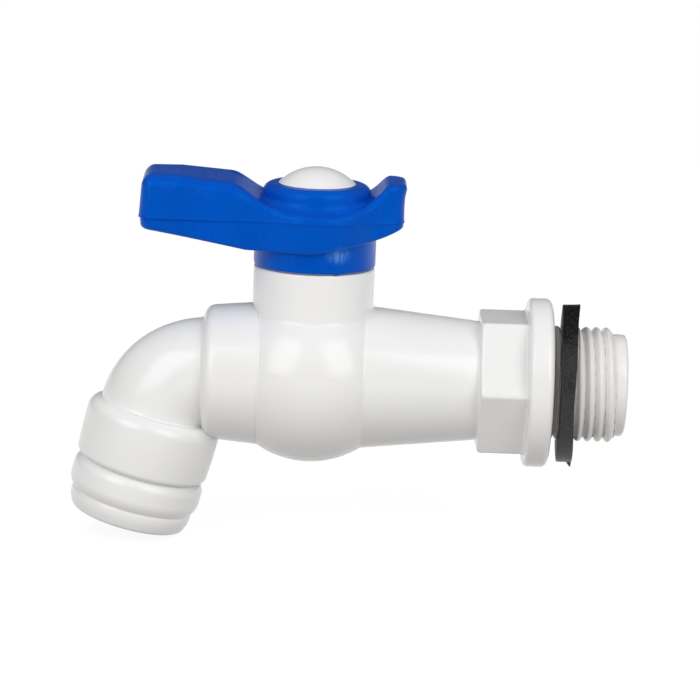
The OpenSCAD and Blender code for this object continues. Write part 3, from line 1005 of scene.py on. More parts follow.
            hub = wall + size
            samples = [wall + 2 * size * k / 60 for k in range(61)]
            lifts = [(ground(out) + math.sqrt(max(size**2 - (out - hub) ** 2, 0)), out) for out in samples]
            lift, touch = max(lifts)
            lift -= sink
            end = math.acos(held((hub - touch) / size, -1, 1))
            column = [(wall - 0.8, lift), (wall - 0.01, lift + 0.01)]
            for k in range(1, 11):
                angle = end * k / 10
                column.append((hub - size * math.cos(angle), lift - size * math.sin(angle)))
            last = column[-1]
            column += [(last[0], last[1] - 0.6), (wall - 0.8, last[1] - 1.2)]
            columns.append([Vector((stem, 0, 0)) + aim * out + Vector((0, 0, up)) for out, up in column])
        return draw_out(name, columns, End.ROUND_TRIP, End.ROUND_TRIP)

    def tower(self) -> bpy.types.Object:
        """The tower and its neck, with the notch that stops the lever."""
        wall, rounded = self.tower_d / 2, self.tower_round
        profile = [(6.0, wall)]
        profile += [(z, r) for r, z in arc(wall - rounded, self.tower_z - rounded, rounded, 0, 90, 5)]
        profile += [(self.tower_z, self.neck_d / 2), (self.places.neck_top_z - 0.2, self.neck_d / 2)]
        profile += [(self.places.neck_top_z, self.neck_d / 2 - 0.2)]
        tower = turn_shape("tower", self.places.stem_axis, profile)
        stand = self.places.stem_axis @ Matrix.Translation((0, 0, self.tower_z))
        notch = sector("notch", stand, self.notch_d / 2, self.neck_d / 2 + 1, 6, self.notch_turn, self.notch_width)
        combine(tower, notch, Join.CUT)
        return tower

    def build(self) -> bpy.types.Object:
        """Models the whole body."""
        body = draw_out("tap_body", self.outer_rings())
        combine(body, self.tower(), Join.ADD)
        fillet = self.fillet_ring("tower_fillet")
        keep_side(fillet, (self.seam_x + 0.02, 0, 0), (1, 0, 0))
        combine(body, fillet, Join.ADD)
        stem, end = self.places.stem_x, self.places.inlet_end_x
        bore_r, chamber_r = self.inlet_bore_d / 2, self.chamber_d / 2
        bore = [(self.places.tail_x - 1, chamber_r + 1.3), (self.places.tail_x + 0.3, chamber_r)]
        bore += [(stem + self.chamber_reach, chamber_r), (stem + self.chamber_reach, bore_r)]
        bore += [(end - 0.4, bore_r), (end + 0.6, bore_r + 1.0)]
        combine(body, turn_shape("water_way", self.places.inlet_axis, bore), Join.CUT)
        top = self.places.neck_top_z
        well = [(self.well_floor_z, self.well_d / 2), (top - 0.3, self.well_d / 2), (top + 0.7, self.well_d / 2 + 1.0)]
        combine(body, turn_shape("well", self.places.stem_axis, well), Join.CUT)
        foot = [(4.0, self.foot_hole_d / 2), (self.well_floor_z + 1, self.foot_hole_d / 2)]
        combine(body, turn_shape("foot_hole", self.places.stem_axis, foot, 96), Join.CUT)
        smooth(body, 32)
        return body


# The white spout


@dataclass
class Spout:
    """The white spout: collar, bend and ringed nozzle.

    Attributes are diameters, lengths and radii in millimetres, as in the part's source.
    """

    places: Places
    housing: Housing
    collar_len: float = 9.9
    collar_round: float = 2.2
    tube_d: float = 19.8
    bore_d: float = 16.0
    elbow_step: float = 0.2
    bend_start: float = 8.4
    bend_r: float = 9.95
    bend_deg: float = 75.0
    bend_past: float = 3.0
    swell: float = 0.62
    swell_end: float = 0.85
    fillet: float = 0.5
    shoulder: float = 2.4
    band_d: float = 24.7
    band_end_d: float = 24.3
    band_len: float = 10.95
    band_corner: float = 1.0
    ring_d: float = 24.16
    ring_flat: float = 1.85
    ring_high_round: float = 2.2
    ring_low_round: float = 3.2
    crease_at: float = 17.4
    crease_d: float = 22.2
    lip_d: float = 22.5
    lip_end_d: float = 21.5
    lip_round: float = 1.0
    mouth_back: float = 0.22
    outside_turn: float = 1.2
    outside_pivot: float = 6.0
    seat_gap: float = 0.05

    @property
    def nozzle_axis(self) -> Matrix:
        """Frame at the nozzle's start whose third axis runs to its mouth."""
        return axis_frame(self.places.mouth - self.places.outflow * self.places.nozzle_len, self.places.outflow)

    @property
    def outside_axis(self) -> Matrix:
        """The nozzle's frame turned a little upright, as the outside stands in the photograph."""
        out = self.places.outflow
        leaned = Matrix.Rotation(math.radians(-self.outside_turn), 3, "Y") @ out
        start = self.places.mouth - out * self.places.nozzle_len
        return axis_frame(start + (out - leaned) * self.outside_pivot, leaned)

    def bend(self, name: str, diameter: float, swell: float = 0.0) -> bpy.types.Object:
        """A bent bar between the collar and the nozzle, for the tube or its water way.

        Args:
            name: Name of the new piece.
            diameter: Its diameter.
            swell: How much further its outer side stands at the nozzle, growing from none at the collar.

        Returns:
            The piece.
        """
        start_x = self.housing.seam_x - self.bend_start
        turns = even_turns(160)
        half = diameter / 2
        rings = []
        steps = 40
        for k in range(steps + 1):
            lean = math.radians(-self.bend_past + (self.bend_deg + 2 * self.bend_past) * k / steps)
            out = Vector((-math.sin(lean), 0, math.cos(lean)))
            middle = Vector((start_x, 0, -self.bend_r)) + out * self.bend_r
            share = held(math.degrees(lean) / self.bend_deg, 0, 1)
            more = swell * ease(share / self.swell_end)
            ring = []
            for turn in turns:
                reach = half + more * max(math.cos(turn), 0)
                ring.append(middle + out * reach * math.cos(turn) + Vector((0, half * math.sin(turn), 0)))
            rings.append(ring)
        return draw_out(name, rings)

    def collar(self) -> bpy.types.Object:
        """The collar that takes the body's tail, rounded at its end and hollowed into the tube."""
        seam, base = self.housing.seam_x, self.housing.barrel_large_d / 2
        end_x = seam - self.collar_len
        end_r = self.housing.collar_end_d / 2
        tube = self.tube_d / 2
        small = self.fillet
        profile = [(seam, base - 0.08), (seam - 0.08, base)]
        profile += [(end_x + self.collar_round, end_r)]
        profile += arc(end_x + self.collar_round, end_r - self.collar_round, self.collar_round, 90, 172, 10)[1:]
        profile += arc(end_x - small, tube + small, small, 0, -90, 6)
        profile += [(end_x - small - 0.5, tube - 0.25)]
        return turn_shape("collar", self.places.inlet_axis, profile, 192)

    def nozzle(self) -> bpy.types.Object:
        """The nozzle: a wide band, a groove, a rounded ring, a crease and the lip."""
        tube, band, ring, lip = self.tube_d / 2, self.band_d / 2, self.ring_d / 2, self.lip_d / 2
        small, shoulder, corner = self.fillet, self.shoulder, self.band_corner
        high, low, rounded = self.ring_high_round, self.ring_low_round, self.lip_round
        ring_at = self.band_len + high
        low_at = ring_at + self.ring_flat
        low_end = math.degrees(math.acos((self.crease_at - 0.2 - low_at) / low))
        end = self.places.nozzle_len - self.mouth_back
        profile = [(-small - 0.6, tube - 0.25)]
        profile += arc(-small, tube + small, small, -90, 0, 6)
        profile += arc(shoulder, band - shoulder, shoulder, 180, 90, 10)[1:]
        profile += [(0.6 * self.band_len, band)]
        profile += arc(self.band_len - corner, self.band_end_d / 2 - corner, corner, 90, 8, 9)
        profile += arc(ring_at, ring - high, high, 152, 90, 9)
        profile += arc(low_at, ring - low, low, 90, low_end, 12)
        profile += [(self.crease_at, self.crease_d / 2), (self.crease_at + 0.3, lip - 0.04)]
        profile += [(self.crease_at + 0.8, lip), (self.crease_at + 1.8, lip - 0.1)]
        profile += arc(end - rounded, self.lip_end_d / 2 - rounded, rounded, 80, 0, 7)
        return turn_shape("nozzle", self.outside_axis, profile, 192)

    def build(self) -> bpy.types.Object:
        """Models the whole spout."""
        spout = self.bend("tap_spout", self.tube_d, self.swell)
        combine(spout, self.collar(), Join.ADD)
        combine(spout, self.nozzle(), Join.ADD)
        seam = self.housing.seam_x
        fillet = self.housing.fillet_ring("seat_fillet")
        keep_side(fillet, (seam - 0.02, 0, 0), (-1, 0, 0))
        combine(spout, fillet, Join.ADD)
        gap = self.seat_gap
        seat = [(0.0, self.housing.tower_d / 2 + gap), (self.housing.tower_z, self.housing.tower_d / 2 + gap)]
        combine(spout, turn_shape("tower_seat", self.places.stem_axis, seat), Join.CUT)
        tail_r, bore_r = self.housing.tail_d / 2 + gap, self.bore_d / 2
        socket = [(self.places.tail_x - gap, tail_r), (seam - 0.3, tail_r), (seam + 1, tail_r + 0.8)]
        combine(spout, turn_shape("tail_socket", self.places.inlet_axis, socket), Join.CUT)
        way = [(seam - self.bend_start, bore_r), (self.places.tail_x, bore_r)]
        combine(spout, turn_shape("straight_way", self.places.inlet_axis, way), Join.CUT)
        combine(spout, self.bend("bend_way", self.bore_d - 2 * self.elbow_step), Join.CUT)
        end = self.places.nozzle_len - self.mouth_back
        out = [(0.0, bore_r), (end - 0.4, bore_r), (end + 1.1, bore_r + 1.5)]
        combine(spout, turn_shape("nozzle_way", self.nozzle_axis, out), Join.CUT)
        smooth(spout, 32)
        return spout


# The blue lever


@dataclass
class Lever:
    """The blue lever: skirt, hub with its ring, long arm and short upturned tail.

    Distances are from the stem's axis and heights from the skirt's lower edge, in millimetres.
    """

    places: Places
    skirt_d: float = 22.05
    skirt_bore_d: float = 20.12
    hollow_gap: float = 0.3
    hub_d: float = 24.8
    arm_reach: float = 31.9
    arm_w: float = 16.0
    arm_top: float = 16.3
    arm_slope: float = 0.09
    arm_slope_start: float = 24.5
    brow_drop: float = 3.1
    brow_start: float = 15.6
    brow_len: float = 7.4
    foot_drop: float = 0.65
    foot_start: float = 9.5
    foot_len: float = 5.0
    arm_ridge: float = 2.3
    hub_ridge: float = 1.15
    tail_ridge: float = 0.95
    tail_reach: float = 15.9
    tail_w: float = 13.0
    tail_top: float = 15.7
    tail_flat: float = 3.25
    tail_curl: float = 3.1
    tail_flare: float = 0.43
    corner_r: float = 2.6
    plan_blend: float = 1.2
    saddle: float = 10.35
    parting: float = 9.1
    parting_fall: float = 0.55
    parting_tail_fall: float = 0.3
    hub_under: float = 3.6
    arm_under: float = 6.53
    tail_under: float = 8.15
    ring_d: float = 19.5
    ring_h: float = 14.7
    ring_round: float = 1.6
    flare: float = 2.0
    recess_d: float = 12.1
    socket_af: float = 7.1
    socket_top: float = 10.23
    screw_hole_d: float = 4.1
    lug_d: float = 18.32
    lug_turn: float = 135.0
    lug_width: float = 40.0
    nib_turn: float = -68.6
    corners: int = 320

    def arm_edge(self, turn: float, reach: float, width: float) -> float:
        """Distance to the outline of one arm with the skirt's circle.

        Args:
            turn: Direction, in radians from the arm's own.
            reach: How far the arm reaches.
            width: How wide its end is.

        Returns:
            The distance from the stem's axis.
        """
        core, round_r = self.skirt_d / 2, self.corner_r
        corner = Vector((reach - round_r, width / 2 - round_r))
        lean = math.atan2(corner.y, corner.x) + math.acos((core - round_r) / corner.length)
        touch = corner + round_r * Vector((math.cos(lean), math.sin(lean)))
        turn = abs((turn + math.pi) % math.tau - math.pi)
        if turn >= lean:
            return core
        if turn >= math.atan2(touch.y, touch.x):
            return core / math.cos(turn - lean)
        if turn <= math.atan2(corner.y, reach):
            return reach / math.cos(turn)
        along = corner.x * math.cos(turn) + corner.y * math.sin(turn)
        return along + math.sqrt(max(round_r**2 - corner.length_squared + along**2, 0))

    def edge(self, turn: float) -> float:
        """Distance from the stem's axis to the lever's outline in one direction."""
        arm = self.arm_edge(turn - math.pi, self.arm_reach, self.arm_w)
        tail = self.arm_edge(turn, self.tail_reach, self.tail_w)
        return soft_max(soft_max(arm, tail, 0.3), self.hub_d / 2, self.plan_blend)

    def outline(self) -> list[Vector]:
        """The outline from above, evenly spaced and closer round its corners."""
        fine = 4096
        points = []
        for k in range(fine):
            turn = math.tau * (k + 0.5) / fine
            points.append(Vector((math.cos(turn), math.sin(turn))) * self.edge(turn))
        cost = [0.0]
        for k in range(fine):
            before, here, after = points[k - 1], points[k], points[(k + 1) % fine]
            bend = abs((here - before).angle_signed(after - here))
            cost.append(cost[-1] + (after - here).length + 2.2 * bend)
        picked, k = [], 0
        for n in range(self.corners):
            goal = cost[-1] * n / self.corners
            while cost[k + 1] < goal:
                k += 1
            share = (goal - cost[k]) / (cost[k + 1] - cost[k])
            picked.append(points[k].lerp(points[(k + 1) % fine], share))
        return picked

    def top(self, x: float) -> float:
        """Height of the lever's upper side.

        Args:
            x: Distance along the lever, negative on the long arm.

        Returns:
            The height. It drops steeply near the hub and curls up steeply at the tail.
        """
        if x < 0:
            slope = self.arm_slope * max(x + self.arm_slope_start, 0)
            brow = self.brow_drop * ease((x + self.brow_start) / self.brow_len)
            return self.arm_top - slope - brow - self.foot_drop * ease((x + self.foot_start) / self.foot_len)
        share = x / (self.tail_reach - self.tail_flat)
        climb = self.saddle + (self.tail_top - self.saddle) * share**self.tail_curl
        return -soft_max(-climb, -self.tail_top, 1.0)

    def ridge_round(self, x: float) -> float:
        """Radius of the lever's upper edge: wide along the arm, small round the hub and the tail."""
        arm = self.hub_ridge + (self.arm_ridge - self.hub_ridge) * ease((-x - 9) / 5)
        return arm - (self.hub_ridge - self.tail_ridge) * ease((x - 11) / 3)

    def under(self, x: float) -> float:
        """Height of the lever's underside."""
        start = -self.hub_d / 2
        if x < start:
            share = (start - x) / (self.arm_reach + start)
            return self.hub_under + (self.arm_under - self.hub_under) * (share + 0.10 * share * (1 - share))
        rise = max(x + 0.5, 0) / (self.tail_reach + 0.5)
        return self.hub_under + (self.tail_under - self.hub_under) * (0.62 * rise + 0.38 * rise**5)

    def split(self, x: float) -> float:
        """Height of the parting line."""
        fall = self.parting_fall * ease(-x / self.arm_reach)
        return self.parting - fall - self.parting_tail_fall * ease(x / self.tail_reach)

    def hub_profile(self, back: float) -> Point:
        """A point on the hub's ring, as radius and height, at a distance back from the edge of its flat top."""
        quarter = self.ring_round * math.pi / 2
        if back > quarter:
            return self.ring_d / 2, self.ring_h - self.ring_round - (back - quarter)
        angle = math.pi / 2 - back / self.ring_round
        middle = self.ring_d / 2 - self.ring_round
        return middle + self.ring_round * math.cos(angle), self.ring_h - self.ring_round * (1 - math.sin(angle))

    def hub_back(self, height: float) -> float:
        """Distance back along the hub's ring at which it has a given height."""
        drop = self.ring_h - height
        if drop >= self.ring_round:
            return self.ring_round * (math.pi / 2 - 1) + drop
        return self.ring_round * math.acos(1 - drop / self.ring_round)

    def rings(self) -> list[Ring]:
        """The rings of the lever's outside, from the skirt's lower edge up to the top of the hub."""
        edge = self.outline()
        count = len(edge)
        normals = []
        for k, point in enumerate(edge):
            along = edge[(k + 1) % count] - edge[k - 1]
            normals.append(Vector((along.y, -along.x)).normalized())
        aims = [point.normalized() for point in edge]
        reach = [point.length for point in edge]
        low_round = [held(0.45 + 0.035 * (r - self.hub_d / 2), 0.45, 1.0) for r in reach]
        step = [held(0.14 + 0.011 * (r - self.hub_d / 2), 0.14, 0.34) for r in reach]
        ridge = [self.ridge_round(p.x) for p in edge]
        end_lean = [math.tan(math.radians(1.2 + 2.6 * max(-n.x, 0) ** 6)) for n in normals]
        flare = [self.tail_flare * max(n.x, 0) ** 6 if p.x > self.hub_d / 2 else 0.0 for n, p in zip(normals, edge)]
        low_lean = math.tan(math.radians(3.0))
        skirt = self.skirt_d / 2
        rings: list[list[Vector]] = []

        def add(points: Sequence[Vector], heights: Sequence[float]) -> None:
            """Adds one ring from its places and heights."""
            rings.append([Vector((p.x, p.y, h)) for p, h in zip(points, heights)])

        def moved(depths: Sequence[float]) -> list[Vector]:
            """The outline moved inwards by a depth at each point."""
            return [p - n * d for p, n, d in zip(edge, normals, depths)]

        # The skirt, its lower edge rounded and a nib left by the gate
        nib_turn = math.radians(self.nib_turn)
        for radius, height, pull in ((skirt - 0.22, 0.0, 0.0), (skirt - 0.06, 0.07, 0.30), (skirt, 0.25, 0.22), (skirt, 0.6, 0.0)):
            ring = []
            for aim in aims:
                away = abs((math.atan2(aim.y, aim.x) - nib_turn + math.pi) % math.tau - math.pi) * skirt
                nib = math.exp(-((away / 0.42) ** 2)) * pull
                ring.append(Vector((aim.x * (radius + nib * 0.5), aim.y * (radius + nib * 0.5), height - nib)))
            rings.append(ring)
        under_skirt = [self.under(a.x * skirt) for a in aims]
        add([a * skirt for a in aims], [h - 0.3 for h in under_skirt])
        add([a * (skirt + 0.08) for a in aims], [h - 0.08 for h in under_skirt])
        inner = [a * (skirt + 0.28) for a in aims]
        add(inner, [self.under(p.x) for p in inner])

        # The underside, out to the rounded lower edge
        split_at = [self.split(p.x) for p in edge]
        low_round = [min(r, 0.7 * max(s - self.under(p.x), 0.2)) for r, s, p in zip(low_round, split_at, edge)]
        low_depth = [s + max(h - self.under(p.x) - r, 0) * low_lean for s, h, p, r in zip(step, split_at, edge, low_round)]
        outer = moved([d + r for d, r in zip(low_depth, low_round)])
        loops = 14
        for k in range(1, loops):
            points = [a.lerp(b, k / loops) for a, b in zip(inner, outer)]
            add(points, [self.under(p.x) for p in points])
        floor = [self.under(p.x) for p in outer]
        for k in range(6):
            angle = math.pi / 2 * k / 5
            depths = [d + r * (1 - math.sin(angle)) for d, r in zip(low_depth, low_round)]
            add(moved(depths), [f + r * (1 - math.cos(angle)) for f, r in zip(floor, low_round)])

        # The lower wall, the step at the parting line and the upper wall with its flared foot
        for share in (0.5, 1.0):
            depths = [d + (s - d) * share for d, s in zip(low_depth, step)]
            tops = [f + r + max(h - 0.16 - f - r, 0.02) * share for f, r, h in zip(floor, low_round, split_at)]
            add(moved(depths), tops)
        for depth, lift in ((0.02, -0.05), (0.0, 0.04), (0.05, 0.26), (0.10, 0.55)):
            add(moved([depth] * count), [h + lift for h in split_at])

        def brow(points: Sequence[Vector]) -> list[float]:
            """Heights of the lever's upper side, with the hub's flare, at some places."""
            return [self.top(p.x) + self.flare_lift(p, a) for p, a in zip(points, aims)]

        guess = moved([0.1 + r for r in ridge])
        wall = [max(h - s - 0.6 - r, 0.1) for h, s, r in zip(brow(guess), split_at, ridge)]
        high_depth = [0.1 + w * lean - f for w, lean, f in zip(wall, end_lean, flare)]
        crown = moved([d + r for d, r in zip(high_depth, ridge)])
        crown_h = brow(crown)
        for share in (0.25, 0.5, 0.75):
            depths = [0.1 + w * lean * share - f * share**4 for w, lean, f in zip(wall, end_lean, flare)]
            add(moved(depths), [s + 0.55 + (c - r - s - 0.55) * share for s, c, r in zip(split_at, crown_h, ridge)])
        for k in range(9):
            angle = math.pi / 2 * k / 8
            depths = [d + r * (1 - math.cos(angle)) for d, r in zip(high_depth, ridge)]
            add(moved(depths), [c - r * (1 - math.sin(angle)) for c, r in zip(crown_h, ridge)])

        # The upper side, in to the hub, and the hub's ring
        starts = [self.hub_start(a) for a in aims]
        back = [self.hub_back(h) for h in starts]
        feet = [a * self.hub_profile(b)[0] for a, b in zip(aims, back)]
        loops = 34
        for k in range(1, loops):
            share = 1 - (1 - k / loops) ** 1.7
            points = [a.lerp(b, share) for a, b in zip(crown, feet)]
            add(points, brow(points))
        for k in range(13):
            spots = [self.hub_profile(b * (1 - k / 12)) for b in back]
            add([a * s[0] for a, s in zip(aims, spots)], [s[1] for s in spots])
        for radius in (7.4, 6.4):
            add([a * radius for a in aims], [self.ring_h] * count)
        shift = Vector((self.places.stem_x, 0, self.places.skirt_z))
        return [[shift + point for point in ring] for ring in rings]

    def flare_size(self, aim: Vector) -> float:
        """Radius of the hollow between the hub's ring and the lever's upper side, in one direction."""
        return held(self.ring_h - self.ring_round - 0.3 - self.top(aim.x * self.ring_d / 2), 0.35, self.flare)

    def hub_start(self, aim: Vector) -> float:
        """Height at which the hub's ring rises from the flare, in one direction."""
        return min(self.top(aim.x * self.ring_d / 2) + self.flare_size(aim), self.ring_h - 0.4)

    def flare_lift(self, point: Vector, aim: Vector) -> float:
        """How far the flare lifts the upper side at a place, in the direction of that place's ring corner."""
        size = self.flare_size(aim)
        foot = self.hub_profile(self.hub_back(self.hub_start(aim)))[0]
        depth = held(foot + size - point.length, 0, size)
        return size - math.sqrt(size**2 - depth**2)

    def build(self) -> bpy.types.Object:
        """Models the whole lever."""
        lever = draw_out("lever", self.rings())
        skirt_z, axis = self.places.skirt_z, self.places.stem_axis
        hollow_z = self.places.gland_top_z + self.hollow_gap
        bore = self.skirt_bore_d / 2
        hollow = [(skirt_z - 1, bore + 1.2), (skirt_z + 0.2, bore), (hollow_z - 0.3, bore), (hollow_z, bore - 0.3)]
        combine(lever, turn_shape("hollow", axis, hollow), Join.CUT)
        lug_stand = axis @ Matrix.Translation((0, 0, skirt_z + 0.3))
        lug = sector("lug", lug_stand, self.lug_d / 2, bore + 0.3, hollow_z - skirt_z, self.lug_turn, self.lug_width)
        combine(lever, lug, Join.ADD)
        half, stem = self.socket_af / 2, self.places.stem_x
        low = (stem - half, -half, hollow_z - 1)
        combine(lever, block("socket", low, (stem + half, half, skirt_z + self.socket_top)), Join.CUT)
        hole = [(hollow_z - 1, self.screw_hole_d / 2), (self.places.cap_top_z, self.screw_hole_d / 2)]
        combine(lever, turn_shape("screw_hole", axis, hole, 64), Join.CUT)
        ring_z = skirt_z + self.ring_h
        recess = [(self.places.recess_z, self.recess_d / 2), (ring_z - 0.2, self.recess_d / 2), (ring_z + 0.3, self.recess_d / 2 + 0.5)]
        combine(lever, turn_shape("recess", axis, recess), Join.CUT)
        smooth(lever, 34)
        return lever


# The cap and the wall washer


@dataclass
class Cap:
    """The white domed cap that plugs into the hub.

    Attributes are diameters and thicknesses in millimetres.
    """

    places: Places
    dome_d: float = 14.0
    dome_h: float = 3.0
    plug_d: float = 12.0
    wall: float = 1.2
    edge: float = 0.18

    def build(self) -> bpy.types.Object:
        """Models the cap from its inner pole, round its plug and rim, to its outer pole."""
        top, seat = self.places.cap_top_z, self.places.cap_top_z - self.dome_h
        radius = (self.dome_d**2 / 4 + self.dome_h**2) / (2 * self.dome_h)
        centre = top - radius
        plug, hollow = self.plug_d / 2, self.plug_d / 2 - self.wall
        inner = radius - self.wall
        inner_edge = math.degrees(math.asin(hollow / inner))
        outer_edge = math.degrees(math.asin((self.dome_d / 2 - self.edge / 2) / radius))
        profile = [(z, r) for r, z in arc(0, centre, inner, 89.6, 90 - inner_edge, 10)]
        profile += [(self.places.cap_low_z + 0.1, hollow), (self.places.cap_low_z, hollow + 0.1)]
        profile += [(self.places.cap_low_z, plug - 0.15), (self.places.cap_low_z + 0.15, plug), (seat, plug)]
        profile += [(seat, self.dome_d / 2 - self.edge), (seat + self.edge * 0.3, self.dome_d / 2 - self.edge * 0.3)]
        profile += [(z, r) for r, z in arc(0, centre, radius, 90 - outer_edge, 89.6, 26)]
        cap = turn_shape("hub_cap", self.places.stem_axis, profile, 128, End.POINT, End.POINT)
        smooth(cap, 40)
        return cap


@dataclass
class WallWasher:
    """The loose black rubber washer, a little wavy, with a lip and a tail of flash.

    Attributes are diameters, thicknesses and heights in millimetres.
    """

    places: Places
    outer_d: float = 28.7
    bore_d: float = 20.5
    bow: float = 0.3
    edge: float = 0.28
    lip: float = 0.22
    flash_reach: float = 1.1

    def section(self, turn: float) -> list[Point]:
        """The washer's section at an angle round the inlet, as places along it and radii."""
        near_side = max(-math.cos(turn), 0)
        up = max(math.sin(turn), 0)
        thick = -self.places.washer_x
        back = -thick + 0.06 + 0.07 * math.sin(2 * turn + 0.6) + 0.03 * math.sin(7 * turn)
        front = -0.12 - self.bow * near_side**1.6 + 0.06 * math.sin(5 * turn + 1)
        outer = self.outer_d / 2 + 0.05 * math.sin(3 * turn + 2) + 0.03 * math.sin(11 * turn)
        lip = self.lip * up**10
        bore, edge = self.bore_d / 2, self.edge
        points = [(back, bore + 0.1), (back, (bore + outer) / 2)]
        points += arc(back + edge, outer - edge, edge, 180, 90, 5)
        points += [((back + front) / 2, outer + lip * 0.2)]
        points += [(front - edge + lip, outer + lip * 0.6), (front - 0.07 + lip, outer + lip), (front + lip, outer - 0.08 + lip)]
        points += [(front, outer - 0.4), (front, (bore + outer) / 2), (front, bore + 0.1)]
        points += [(front - 0.1, bore), ((back + front) / 2, bore), (back + 0.1, bore)]
        return points

    def flash_tail(self) -> bpy.types.Object:
        """The thin tail of flash that hangs from the washer's lower edge."""
        rings = []
        for share in (0.0, 0.3, 0.6, 0.85, 1.0):
            drop = self.outer_d / 2 - 0.5 + (self.flash_reach + 0.5) * share
            wide = 0.75 * (1 - share) ** 0.8 + 0.06
            thick = 0.22 * (1 - share) + 0.05
            along = -0.62 + 0.28 * share**2
            ring = [(along - wide, -thick), (along + wide * 0.7, -thick), (along + wide * 0.7, thick), (along - wide, thick)]
            rings.append([Vector((x, -0.6 + y, -drop)) for x, y in ring])
        return draw_out("flash_tail", rings)

    def build(self) -> bpy.types.Object:
        """Models the washer by drawing its section round the inlet."""
        rings = []
        for turn in even_turns(180):
            aim = Vector((self.places.washer_lean * math.cos(turn), math.cos(turn), math.sin(turn)))
            rings.append([aim * radius + Vector((along, 0, 0)) for along, radius in self.section(turn)])
        washer = draw_out("wall_washer", rings, End.ROUND_TRIP, End.ROUND_TRIP)
        combine(washer, self.flash_tail(), Join.ADD)
        smooth(washer, 38)
        return washer


# The parts inside


@dataclass
class InnerParts:
    """Finishes of the CAD nodes inside the tap, which keep their shapes."""

    finishes: dict[Slot, bpy.types.Material]

    def dress(self, shown: set[str]) -> None:
        """Gives each CAD node that no new piece stands for the finish of its slot.

        Args:
            shown: Names of the nodes that new pieces stand for.
        """
        slots = {part["node"]: Slot(part["material_slot"]) for part in frame["record"]["subparts"]}
        for name, node in frame["nodes"].items():
            if name in shown:
                continue
            slot = slots[name]
            node.data.materials.clear()
            node.data.materials.append(self.finishes[slot])
            LOG.info("%s: packed shape with the finish %s", name, self.finishes[slot].name)


# The studio


